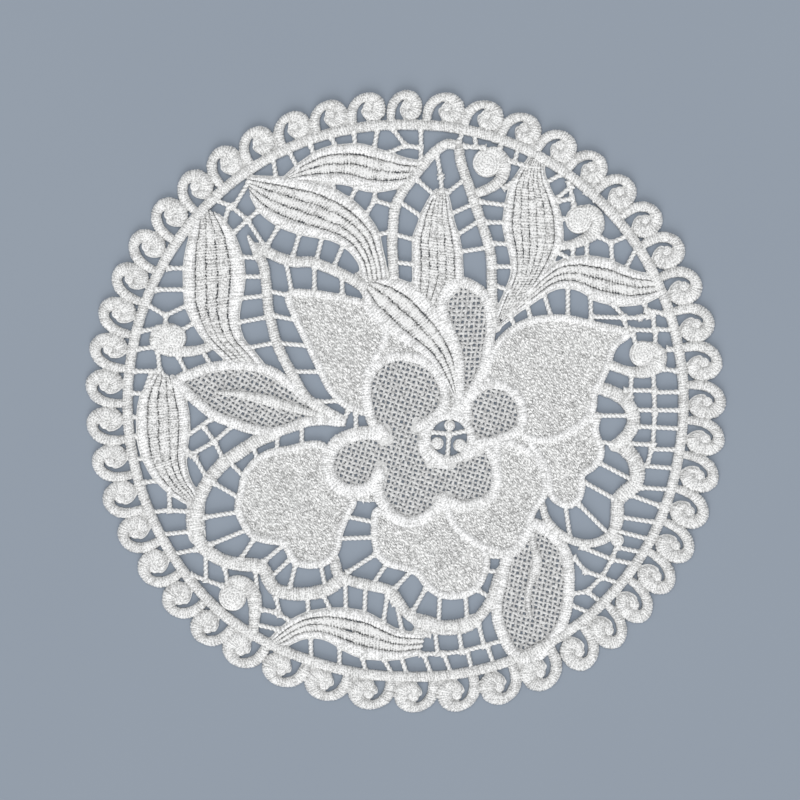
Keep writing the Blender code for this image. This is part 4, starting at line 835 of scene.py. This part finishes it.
def piece(name, skins, material):
    """One object out of many skins.

    Neighbouring rings are joined by faces with four corners.  A skin that isn't joined end to end
    gets a cap of faces with three corners round the middle of its first and last ring.  The UV map
    holds millimetres: along the skin and round it.  The attribute tight is 1 on the crown of a
    thread and 0 in the groove beside it, as painted shade, and it also carries random tone.
    """
    places, lights, quads, caps, quad_uv, cap_uv = [], [], [], [], [], []
    first = 0
    for points, way, joined, around, light in skins:
        rings, columns = points.shape[:2]
        i, j = np.meshgrid(np.arange(rings if joined else rings - 1), np.arange(columns),
                           indexing="ij")
        after, beside = (i + 1) % rings, (j + 1) % columns
        corners = (i * columns + j, i * columns + beside, after * columns + beside,
                   after * columns + j)
        quads.append(np.stack(corners, axis=-1).reshape(-1, 4) + first)
        u = np.stack((way[i], way[i], way[i + 1], way[i + 1]), axis=-1)
        v = np.stack((j, j + 1, j + 1, j), axis=-1) * around / columns
        quad_uv.append(np.stack((u, v), axis=-1).reshape(-1, 2))
        places.append(points.reshape(-1, 3))
        light = np.broadcast_to(light, points.shape[:2])
        lights.append(light.ravel())
        first += rings * columns
        if joined:
            continue
        places.append(points[[0, -1]].mean(axis=1))
        lights.append(light[[0, -1]].mean(axis=1))
        j = np.arange(columns)
        last = (rings - 1) * columns - rings * columns
        start = np.stack((np.full(columns, 0), (j + 1) % columns - rings * columns,
                          j - rings * columns), axis=-1)
        end = np.stack((np.full(columns, 1), j + last, (j + 1) % columns + last), axis=-1)
        caps.append(np.vstack([start, end]) + first)
        ends = np.repeat((way[0], way[-1]), columns * 3)
        cap_uv.append(np.column_stack([ends, np.tile(j.repeat(3), 2) * around / columns]))
        first += 2
    quads = np.vstack(quads)
    caps = np.vstack(caps) if caps else np.zeros((0, 3), dtype=int)
    corners = np.concatenate([quads.ravel(), caps.ravel()]).astype(np.int32)
    starts = np.concatenate([4 * np.arange(len(quads)), 4 * len(quads) + 3 * np.arange(len(caps))])
    mesh = bpy.data.meshes.new(name)
    places = np.vstack(places) * MM
    mesh.vertices.add(len(places))
    mesh.vertices.foreach_set("co", places.astype(np.float32).ravel())
    mesh.loops.add(len(corners))
    mesh.loops.foreach_set("vertex_index", corners)
    mesh.polygons.add(len(starts))
    mesh.polygons.foreach_set("loop_start", starts.astype(np.int32))
    chart = mesh.uv_layers.new(name="thread")
    uv = np.vstack(quad_uv + cap_uv).astype(np.float32)
    chart.data.foreach_set("uv", uv.ravel())
    # This attribute holds the painted light and shade of the threads, and their random tone.
    tone_and_painted_shading = mesh.attributes.new("tone_and_painted_shading", "FLOAT", "POINT")
    tone_and_painted_shading.data.foreach_set("value", np.concatenate(lights).astype(np.float32))
    mesh.update(calc_edges=True)
    mesh.shade_smooth()
    return finished(name, mesh, material)


def finished(name, mesh, material):
    """Object for a finished mesh: it rides on the one body and stands for the CAD mat."""
    mesh.materials.append(material)
    obj = bpy.data.objects.new(name, mesh)
    bpy.context.scene.collection.objects.link(obj)
    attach(obj, "root")
    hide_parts("lace_mat")
    return obj


def runs(mask):
    """First and last index of each stretch of true values."""
    edges = np.flatnonzero(np.diff(np.concatenate([[0], mask.astype(int), [0]])))
    return [(a, b - 1) for a, b in zip(edges[::2], edges[1::2])]


def shown_stretches(outline, covers):
    """The stretches of a closed outline that lie outside all the outlines that cover it."""
    hidden = within_any(outline, covers)
    if not hidden.any():
        return [(outline, True)]
    if hidden.all():
        return []
    turn = int(np.argmax(hidden))
    outline, hidden = np.roll(outline, -turn, axis=0), np.roll(hidden, -turn)
    found = []
    for a, b in runs(~hidden):
        stretch = outline[max(a - 1, 0):b + 2]
        if len(stretch) > 3:
            found.append((stretch, False))
    return found


def shrunk(outline, by):
    """A closed outline moved inwards by a distance."""
    left, right = sides(outline, by, joined=True)
    return left if signed_area(outline) > 0 else right


# Shapes that several pieces share.
SCROLLS = scrolls()
RING_LINE = np.array([clock_point(a, rim_value(a, RING_COLUMN)) for a in range(0, 360, 2)])
OUTLINES = {name: (half, spread(closed_spline(points, LINE_STEP), RINGS * LINE_STEP, joined=True))
            for name, (half, points) in PETALS.items()}
NETS = {name: outline for name, (half, outline) in OUTLINES.items() if name.startswith("net")}
RICE = {name: outline for name, (half, outline) in OUTLINES.items() if name.startswith("rice")}
LEAF_EDGES = {name: [spline(edge, LINE_STEP) for edge in edges] for name, edges in LEAVES.items()}
LEAF_OUTLINES = {name: leaf_outline(*edges) for name, edges in LEAVES.items()}
EYELET_LINE = EYELET_MIDDLE + np.array([clock_point(a, EYELET_RADIUS) for a in range(0, 360, 4)])
PATCHES = [closed_spline(points, GROUND_STEP) for points in GROUNDS.values()]


def petal_stretches():
    """Name, half width and line of every stretch of satin round a petal, as it shows."""
    found = []
    for name, (half, outline) in OUTLINES.items():
        half = half + (NET_BORDER if name in NETS else 0.0)
        covers = [shrunk(other, NET_COVER) for key, other in NETS.items() if key != name]
        covers.append(shrunk(EYELET_LINE, -EYELET_HALF / 2))
        if name in RICE:
            covers += [shrunk(other, LEAF_COVER) for other in LEAF_OUTLINES.values()]
        for stretch, joined in shown_stretches(outline, covers):
            found.append((name, half, stretch, joined))
    return found


STRETCHES = petal_stretches()


def bar_ends():
    """Both ends of every bar and spoke, moved on into the parts that it joins."""
    rows = np.array([row for group in BARS.values() for row in group] + list(EYELET_SPOKES))
    start, end = rows[:, :2], rows[:, 2:]
    further = BAR_REACH * (end - start) / np.hypot(*(end - start).T)[:, None]
    return list(zip(start - further, end + further))


BAR_ENDS = bar_ends()


# The ground: one flat sheet under everything but the nets and the middles of the leaves.
def stroke(line, half):
    """A line with its half width beside each point, for the ground's grid."""
    return np.column_stack([line, np.full(len(line), half)])


def dot(x, y, radius):
    """A stroke so short that it makes a round spot."""
    return stroke(np.array([(x, y), (x, y + 0.01)]), radius)


def ground_strokes():
    """The ground under cords, bars and borders, each a little narrower than what lies on it."""
    found = [stroke(closed(RING_LINE), RING_HALF - INSET),
             stroke(closed(EYELET_LINE), EYELET_HALF - INSET)]
    for outer, inner, head in SCROLLS:
        found.append(stroke((outer + inner) / 2, np.hypot(*(outer - inner).T) / 2 - INSET))
        found.append(dot(*head, HEAD_RADIUS - 0.1))
    for half, points in CORDS.values():
        found.append(stroke(spline(points, GROUND_STEP), half - INSET))
    for points in (VEINS | CURLS).values():
        found.append(spline(points, GROUND_STEP) - (0, 0, INSET))
    for x, y, radius in KNOBS:
        found.append(dot(x, y, radius - INSET))
    for ends in BAR_ENDS:
        found.append(stroke(ends, BAR_GROUND))
    for edges in LEAF_EDGES.values():
        found += [stroke(edge[::2], LEAF_GROUND) for edge in edges]
    for name, half, stretch, joined in STRETCHES:
        found.append(stroke(closed(stretch) if joined else stretch, half - INSET))
    return found


def ground_field():
    """Grid of the ground: the rice petals and patches less the nets and eyelet, then all strokes."""
    field = Field()
    for outline in RICE.values():
        field.add_area(outline[::2], RICE_GROUND)
    for outline in PATCHES:
        field.add_area(outline, PATCH_GROUND)
    for outline in NETS.values():
        part, px, py = field.window(outline.min(axis=0), outline.max(axis=0))
        field.reach[part][inside_outline(px, py, shrunk(outline, NET_GROUND)[::2])] = OPEN
    px, py = np.meshgrid(field.axis - EYELET_MIDDLE[0], field.axis - EYELET_MIDDLE[1],
                         indexing="ij")
    field.reach = np.minimum(field.reach, np.hypot(px, py) - EYELET_RADIUS)
    for path in ground_strokes():
        field.add_stroke(path)
    field.soften(2)
    return field


def ground_loops():
    """Outer edge of the ground, and its openings."""
    loops = sorted(ground_field().loops(), key=signed_area)
    kept = [loops[-1]]
    for loop in loops[:-1]:
        size = loop.max(axis=0) - loop.min(axis=0)
        if -signed_area(loop) > GAP_AREA and max(size) > GAP_LENGTH:
            kept.append(loop)
    return [simplify(loop, OUTLINE_TOLERANCE) for loop in kept]


def ground_mesh(loops):
    """Flat sheet between the loops, from the table up to the ground's top, with upright edges."""
    corners = np.vstack(loops)
    count = len(corners)
    pairs = np.zeros((0, 2), dtype=int)
    for loop in loops:
        k = np.arange(len(loop))
        pair = np.column_stack([k, (k + 1) % len(loop)]) + len(pairs)
        pairs = np.vstack([pairs, pair])
    spots, _, faces, origins, _, _ = delaunay_2d_cdt([Vector(p) for p in corners],
                                                     pairs.tolist(), [], 0, 1e-6)
    if len(spots) != count:
        raise ValueError("edges of the ground cross each other")
    index = np.array([origin[0] for origin in origins])
    faces = index[np.array(faces)]
    middle = corners[faces].mean(axis=1)
    inside = np.zeros(len(faces), dtype=bool)
    for loop in loops:
        inside ^= inside_outline(middle[:, 0], middle[:, 1], loop)
    faces = faces[inside]
    walls = np.column_stack([pairs, pairs[:, ::-1] + count])
    places = np.column_stack([np.tile(corners, (2, 1)), np.repeat((0.0, GROUND_TOP), count)]) * MM
    mesh = bpy.data.meshes.new("lace_ground")
    mesh.from_pydata(places.tolist(), [],
                     faces[:, ::-1].tolist() + (faces + count).tolist() + walls.tolist())
    mesh.update()
    chart = mesh.uv_layers.new(name="thread")
    corner = np.zeros(len(mesh.loops), dtype=np.int32)
    mesh.loops.foreach_get("vertex_index", corner)
    chart.data.foreach_set("uv", corners[corner % count].astype(np.float32).ravel())
    return mesh


# Skins of each piece.
def band(path, half, top, seed=0, joined=False, **look):
    """Satin along a path; where half is None, the path's third column is its half width."""
    line = spread(path, THREAD, joined, UNEVEN, seed)
    half = line[:, 2] if half is None else half
    return satin(*sides(line[:, :2], half, joined), STITCH_FOOT, top, joined=joined, seed=seed,
                 **look)


def rim_skins():
    """The rim cord: slanted satin along a ring whose radius is read from the table of the rim."""
    return [band(RING_LINE, RING_HALF, RING_TOP, joined=True, slant=0.35)]


def scroll_skins():
    """Scrolls: one band of satin each, whose threads fan out round the middle of the head.

    The threads are spaced evenly on a line three tenths of the way from the outer to the inner
    edge, and each runs straight from edge to edge there.  A dome fills the middle of the head.
    """
    found = []
    for n, (outer, inner, head) in enumerate(SCROLLS):
        guide = 0.7 * outer + 0.3 * inner
        rows = spread(np.hstack([guide, outer, inner]), THREAD, uneven=UNEVEN, seed=n)
        found.append(satin(rows[:, 2:4], rows[:, 4:], STITCH_FOOT, CORD_TOP, seed=n, slant=0.12,
                           crown=0.5))
        found.append(dome(head, HEAD_RADIUS, HEAD_FOOT, HEAD_TOP, start=n))
    return found


def knob_skins():
    """Rolled ends of the curls and the small knobs: a dome on each place of the table."""
    return [dome((x, y), radius + KNOB_WRAP, STITCH_FOOT, KNOB_TOP, depth=0.15, start=x)
            for x, y, radius in KNOBS]


def leaf_skins(borders):
    """Ribs of satin from a leaf's base to its tip: its two borders, or those between them.

    Both edges of the leaf are cut into the same shares of their length, and a seam lies at a fixed
    share of the way from one edge to the other.  Each rib spans two seams.  The notches of
    neighbouring ribs meet, which leaves a row of needle holes between them.
    """
    found = []
    for name, (one, other) in LEAF_EDGES.items():
        at = shares(max(way_along(one)[-1], way_along(other)[-1]), LEAF_THREAD, UNEVEN)
        left, right = resampled(one, at), resampled(other, at)
        height, painted_seam_shade, seams = LEAF_RIBS[name]
        lines = [left + share * (right - left) for share in (-LEAF_LAP, *seams, 1 + LEAF_LAP)]
        for n, (a, b) in enumerate(zip(lines, lines[1:])):
            slant = 0.12 * (-1) ** n
            border = n in (0, len(seams))
            if border and borders:
                found.append(satin(b, a, STITCH_FOOT, LEAF_TOP, slant, notch=0.07, seed=n))
            elif not border and not borders:
                found.append(satin(b, a, height, RIB_TOP, slant, notch=0.14, ragged=0.2,
                                   painted_rib_shading=painted_seam_shade, seed=n))
    return found


def petal_skins():
    """Satin along every stretch of a petal's outline that nothing covers, and round the eyelet."""
    found = []
    for n, (name, half, stretch, joined) in enumerate(STRETCHES):
        top = SATIN_TOP if name in NETS else RICE_BORDER_TOP
        found.append(band(stretch, half, top, n, joined, slant=0.1, notch=0.05))
    found.append(band(EYELET_LINE, EYELET_HALF, CORD_TOP, joined=True, slant=0.1))
    return found


def cord_skins():
    """Satin along smooth curves through the points of the cords, and of the veins and curls."""
    found = [band(spline(points, LINE_STEP), half, CORD_TOP, n, slant=0.15, notch=0.05)
             for n, (half, points) in enumerate(CORDS.values())]
    found += [band(spline(points, LINE_STEP), None, CORD_TOP, n, slant=0.15)
              for n, points in enumerate((VEINS | CURLS).values())]
    return found


def compass(degrees):
    """Unit vectors in a direction, counted from X, and a quarter turn on from it."""
    ahead = np.array((math.cos(math.radians(degrees)), math.sin(math.radians(degrees))))
    return ahead, np.array((-ahead[1], ahead[0]))


def middle_and_reach(points):
    """Middle of the box round some points, and half its diagonal with 2 mm to spare."""
    low, high = points.min(axis=0), points.max(axis=0)
    return (low + high) / 2, np.hypot(*(high - low)) / 2 + 2


def net_layer(shapes, degrees, side, rng):
    """Threads in one direction, kept to the shapes and out of the eyelet.

    Each is a straight line bent by two small sines, and a cosine takes it over and under what it
    crosses; the same cosine paints shade where the thread passes under.  Width and shade also
    differ at random from point to point.
    """
    found = []
    middle, reach = middle_and_reach(np.vstack(shapes))
    ahead, beside = compass(degrees)
    way = np.arange(-reach, reach, NET_PITCH / 2)
    for k, shift in enumerate(np.arange(-reach, reach, NET_PITCH)):
        bend = 0.13 * np.sin(way * 0.9 + 2.1 * k) + 0.1 * np.sin(way * 2.3 + 1.3 * k)
        line = middle + way[:, None] * ahead + (shift + bend)[:, None] * beside
        held = within_any(line, shapes) & (np.hypot(*(line - EYELET_MIDDLE).T) > EYELET_RADIUS)
        over = np.cos(math.pi * (way / NET_PITCH + k + side))
        half = NET_HALF * rng.uniform(0.75, 1.25, len(line))
        # Painted shade where the thread passes under the crossing one, plus random tone.
        light = 0.55 + 0.25 * over + rng.uniform(-0.3, 0.3, len(line))
        height = NET_HEIGHT + NET_WAVE * over
        for a, b in runs(held):
            part = slice(a, b + 1)
            if b - a > 2:
                found.append(thread(line[part], half[part], height[part], light[part], flat=0.5))
    return found


def net_skins():
    """Two crossing layers of thread over each net."""
    rng = np.random.default_rng(3)
    found = []
    for turns, names in NET_GROUPS:
        shapes = [shrunk(NETS[name], NET_INSET) for name in names]
        for side, degrees in enumerate(turns):
            found += net_layer(shapes, degrees, side, rng)
    return found


def rice_spots(outline, covers, rng):
    """Middles of the stitches within an outline: a grid along their direction, shaken at random."""
    middle, reach = middle_and_reach(outline)
    ahead, beside = compass(RICE_TURN)
    row, place = np.mgrid[-reach:reach:RICE_ACROSS, -reach:reach:RICE_ALONG]
    place = place + rng.uniform(0.0, RICE_ALONG, (len(place), 1))
    place = place + rng.uniform(-0.3, 0.3, row.shape)
    row = row + rng.uniform(-0.22, 0.22, row.shape)
    spots = (middle + place[..., None] * ahead + row[..., None] * beside).reshape(-1, 2)
    return spots[within_any(spots, [outline]) & ~within_any(spots, covers)]


def rice_skins():
    """Short stitches, each a lens of three rings; heading, tilt, height and shade are random."""
    rng = np.random.default_rng(7)
    found = []
    covers = list(NETS.values()) + [shrunk(outline, RICE_COVER) for outline in LEAF_OUTLINES.values()]
    for outline in list(RICE.values()) + PATCHES:
        spots = rice_spots(outline, covers, rng)
        lean, tilt = rng.normal(0.0, 1.0, (2, len(spots)))
        lift, tone = rng.uniform(0.0, 1.0, (2, len(spots)))
        heading = math.radians(RICE_TURN) + 0.3 * lean
        heading = np.column_stack([np.cos(heading), np.sin(heading)])
        for k, spot in enumerate(spots):
            line = spot + np.outer((-RICE_HALF, 0.0, RICE_HALF), heading[k])
            height = GROUND_TOP + 0.2 * lift[k] + 0.15 * np.array((-tilt[k], 1.0, tilt[k]))
            found.append(thread(line, RICE_WIDTHS, height, 0.25 + 1.15 * tone[k], columns=4,
                                flat=0.9))
    return found


def bar_skins():
    """Joining bars and the eyelet's spokes: twisted threads that widen at both ends as a bell."""
    found = []
    for ends in BAR_ENDS:
        line = spread(np.array(ends), 1.2)
        way = way_along(line)
        near = np.minimum(way, way[-1] - way)
        half = BAR_HALF * (1.0 + 0.7 * np.exp(-((near / 1.3) ** 2)))
        found.append(thread(line, half, BAR_HEIGHT, 0.6, columns=10, twist=BAR_TWIST, bump=0.14))
    return found


def linear(hex_colour):
    """An sRGB hex colour as linear red, green, blue and alpha."""
    value = [int(hex_colour[i:i + 2], 16) / 255 for i in (0, 2, 4)]
    return [v / 12.92 if v <= 0.04045 else ((v + 0.055) / 1.055) ** 2.4 for v in value] + [1.0]


def node(tree, kind, settings=(), links=()):
    """Add a node, with its settings and the sockets that feed it, by name or by number."""
    made = tree.nodes.new(kind)
    for key, value in dict(settings).items():
        if isinstance(key, int) or key in made.inputs:
            made.inputs[key].default_value = value
        else:
            setattr(made, key, value)
    for key, source in dict(links).items():
        tree.links.new(source, made.inputs[key])
    return made


def material_with(name, settings):
    """A material whose shader has these settings; returned with its node tree and shader."""
    material = bpy.data.materials.new(name)
    material.use_nodes = True
    shader = material.node_tree.nodes["Principled BSDF"]
    for key, value in settings.items():
        shader.inputs[key].default_value = value
    return material, material.node_tree, shader


def cotton(name, crown, groove, roughness, stretch, index, fleck, relief):
    """Bleached cotton thread: near white on the crown of each thread, with painted shade in the
    groove.

    Crown and groove are those two colours, and stretch is the share by which the shine is drawn
    out across the threads.  Index is the refractive index: cotton has about 1.55, and more stands
    for the many small glints of its fibres.  Fleck is the size in millimetres of the spots where
    the thread lies looser or tighter, and relief is their height in millimetres.
    """
    material, tree, shader = material_with(name, {
        "Roughness": roughness, "Anisotropic": stretch, "IOR": index, "Specular IOR Level": 1.0,
        "Sheen Weight": 0.1, "Sheen Roughness": 0.5})
    chart = node(tree, "ShaderNodeUVMap", {"uv_map": "thread"})
    tone_and_painted_shading = node(tree, "ShaderNodeAttribute", {"attribute_name": "tone_and_painted_shading"})
    place = node(tree, "ShaderNodeTexCoord")
    millimetres = node(tree, "ShaderNodeMapping", {"Scale": (1 / MM, 1 / MM, 1 / MM)},
                       {"Vector": place.outputs["Object"]})
    spots = node(tree, "ShaderNodeTexNoise", {"Scale": 1 / fleck, "Detail": 2.0, "Roughness": 0.6},
                 {"Vector": millimetres.outputs["Vector"]})
    loose = node(tree, "ShaderNodeMath",
                 {"operation": "MULTIPLY_ADD", 1: FLECK, 2: -FLECK / 2}, {0: spots.outputs["Fac"]})
    both = node(tree, "ShaderNodeMath", {"operation": "ADD"},
                {0: tone_and_painted_shading.outputs["Fac"], 1: loose.outputs["Value"]})
    share = node(tree, "ShaderNodeMapRange", {"From Min": -0.1, "From Max": 1.0},
                 {"Value": both.outputs["Value"]})
    # Crown colour on the crowns; the groove colour is painted shade in the grooves and the dark end of
    # the random tone.
    colour = node(tree, "ShaderNodeMix",
                  {"data_type": "RGBA", 6: linear(groove), 7: linear(crown)},
                  {0: share.outputs["Result"]})
    tree.links.new(colour.outputs[2], shader.inputs["Base Color"])
    # Fine fibres run along the thread, across the skin, on top of the flecks.
    fibre_space = node(tree, "ShaderNodeMapping", {"Scale": (3.5, 0.9, 1.0)},
                       {"Vector": chart.outputs["UV"]})
    fibre = node(tree, "ShaderNodeTexNoise", {"Scale": 1.0, "Detail": 3.0},
                 {"Vector": fibre_space.outputs["Vector"]})
    bumps = node(tree, "ShaderNodeBump", {"Strength": 1.0, "Distance": relief * MM},
                 {"Height": spots.outputs["Fac"]})
    fibres = node(tree, "ShaderNodeBump", {"Strength": 1.0, "Distance": 0.06 * MM},
                  {"Height": fibre.outputs["Fac"], "Normal": bumps.outputs["Normal"]})
    tree.links.new(fibres.outputs["Normal"], shader.inputs["Normal"])
    along = node(tree, "ShaderNodeTangent", {"direction_type": "UV_MAP", "uv_map": "thread"})
    tree.links.new(along.outputs["Tangent"], shader.inputs["Tangent"])
    return material


def table_top():
    """Plain pale blue-grey table under the mat: a flat square of smooth, dull card."""
    size = 1.5
    mesh = bpy.data.meshes.new("table_top")
    mesh.from_pydata([(-size, -size, -TABLE_DROP), (size, -size, -TABLE_DROP),
                      (size, size, -TABLE_DROP), (-size, size, -TABLE_DROP)], [], [(0, 1, 2, 3)])
    material, tree, shader = material_with("smooth_blue_grey_card",
                                           {"Roughness": 0.9, "Specular IOR Level": 0.1})
    place = node(tree, "ShaderNodeTexCoord")
    cloud = node(tree, "ShaderNodeTexNoise", {"Scale": 7.0, "Detail": 2.0},
                 {"Vector": place.outputs["Object"]})
    colour = node(tree, "ShaderNodeMix",
                  {"data_type": "RGBA", 6: linear(TABLE_SHADE), 7: linear(TABLE_LIGHT)},
                  {0: cloud.outputs["Fac"]})
    tree.links.new(colour.outputs[2], shader.inputs["Base Color"])
    mesh.materials.append(material)
    floor = bpy.data.objects.new("table_top", mesh)
    bpy.context.scene.collection.objects.link(floor)


def sun(name, azimuth, elevation, strength, softness):
    """Soft distant light from a compass angle and a height above the table, both in degrees."""
    lamp = bpy.data.lights.new(name, "SUN")
    lamp.energy = strength
    lamp.angle = math.radians(softness)
    obj = bpy.data.objects.new(name, lamp)
    turn, rise = math.radians(azimuth), math.radians(elevation)
    towards = Vector((math.sin(turn) * math.cos(rise), math.cos(turn) * math.cos(rise),
                      math.sin(rise)))
    obj.rotation_euler = towards.to_track_quat("Z", "Y").to_euler()
    bpy.context.scene.collection.objects.link(obj)


def studio():
    """Straight-down camera as wide as the photo, a lamp overhead and a low one at the near side."""
    scene = bpy.context.scene
    lens = bpy.data.cameras.new("camera")
    lens.sensor_width = SENSOR
    lens.lens = SENSOR * CAMERA_HEIGHT / FRAME_WIDTH
    camera = bpy.data.objects.new("camera", lens)
    camera.location = (*FRAME_MIDDLE, CAMERA_HEIGHT)
    scene.collection.objects.link(camera)
    scene.camera = camera
    sun("key_from_the_near_side", azimuth=186, elevation=36, strength=1.5, softness=45)
    sun("lamp_overhead", azimuth=330, elevation=84, strength=1.5, softness=40)
    world = bpy.data.worlds.new("studio")
    world.use_nodes = True
    world.node_tree.nodes["Background"].inputs["Color"].default_value = SKY
    world.node_tree.nodes["Background"].inputs["Strength"].default_value = SKY_STRENGTH
    scene.world = world
    scene.view_settings.view_transform = "Standard"


# Shiny thread laid side by side over a stuffing: bright crowns, painted shade in the grooves, loose
# flecks.
SATIN = cotton("mercerised_cotton_satin_stitch", "F4F4F3", "A6A6A5", roughness=0.6, stretch=0.9,
               index=1.8, fleck=0.5, relief=0.08)
# The same thread close together round petals and leaves: painted whiter than the satin, as
# painted light, with paler painted shade in its grooves.
BORDER = cotton("cotton_border_stitch_with_painted_light", "FFFFFF", "B4B4B3", roughness=0.6, stretch=0.9,
                index=1.8, fleck=0.5, relief=0.14)
# The same thread in the leaves, pulled tight at every needle hole: white ridges, with painted
# shade in the furrows between them.
LEAF_COTTON = cotton("flat_cotton_satin_stitch", "EAEAE9", "8C8C8B", roughness=0.65, stretch=0.8,
                     index=1.7, fleck=0.5, relief=0.12)
# Two threads twisted to one: white, with painted shade in the groove of the twist, and the flecks
# smaller than the twist.
TWISTED = cotton("twisted_cotton_bar_thread", "F6F6F5", "B0B0AF", roughness=0.55, stretch=0.4,
                 index=1.6, fleck=0.45, relief=0.2)
# Thin open thread of the nets: painted greyer as painted shade, since less of it catches the
# light, and with painted shade where it passes under.
NET_COTTON = cotton("fine_cotton_net_thread", "D8D8D7", "9C9C9C", roughness=0.6, stretch=0.3,
                    index=1.5, fleck=0.45, relief=0.15)
# Loose short stitches: white crowns, and the strongest change from stitch to stitch.
RICE_COTTON = cotton("loose_cotton_rice_stitch", "FFFFFE", "989897", roughness=0.5, stretch=0.4,
                     index=1.6, fleck=0.45, relief=0.25)
# Dense stitching seen only between the stitches on top of it: pale, and duller than the rest.
GROUND = cotton("dense_cotton_ground", "F8F8F7", "CCCCCB", roughness=0.8, stretch=0.0,
                index=1.5, fleck=0.5, relief=0.3)

piece_list = [
    piece("rim_cord", rim_skins(), SATIN),
    piece("rim_scrolls", scroll_skins(), SATIN),
    piece("rolled_ends", knob_skins(), SATIN),
    piece("leaf_ribs", leaf_skins(False), LEAF_COTTON),
    piece("leaf_borders", leaf_skins(True), BORDER),
    piece("petal_satin", petal_skins(), BORDER),
    piece("stuffed_cords", cord_skins(), SATIN),
    piece("net_threads", net_skins(), NET_COTTON),
    piece("rice_stitches", rice_skins(), RICE_COTTON),
    piece("joining_bars", bar_skins(), TWISTED),
]
loops = ground_loops()
ground = finished("lace_ground", ground_mesh(loops), GROUND)
table_top()
studio()
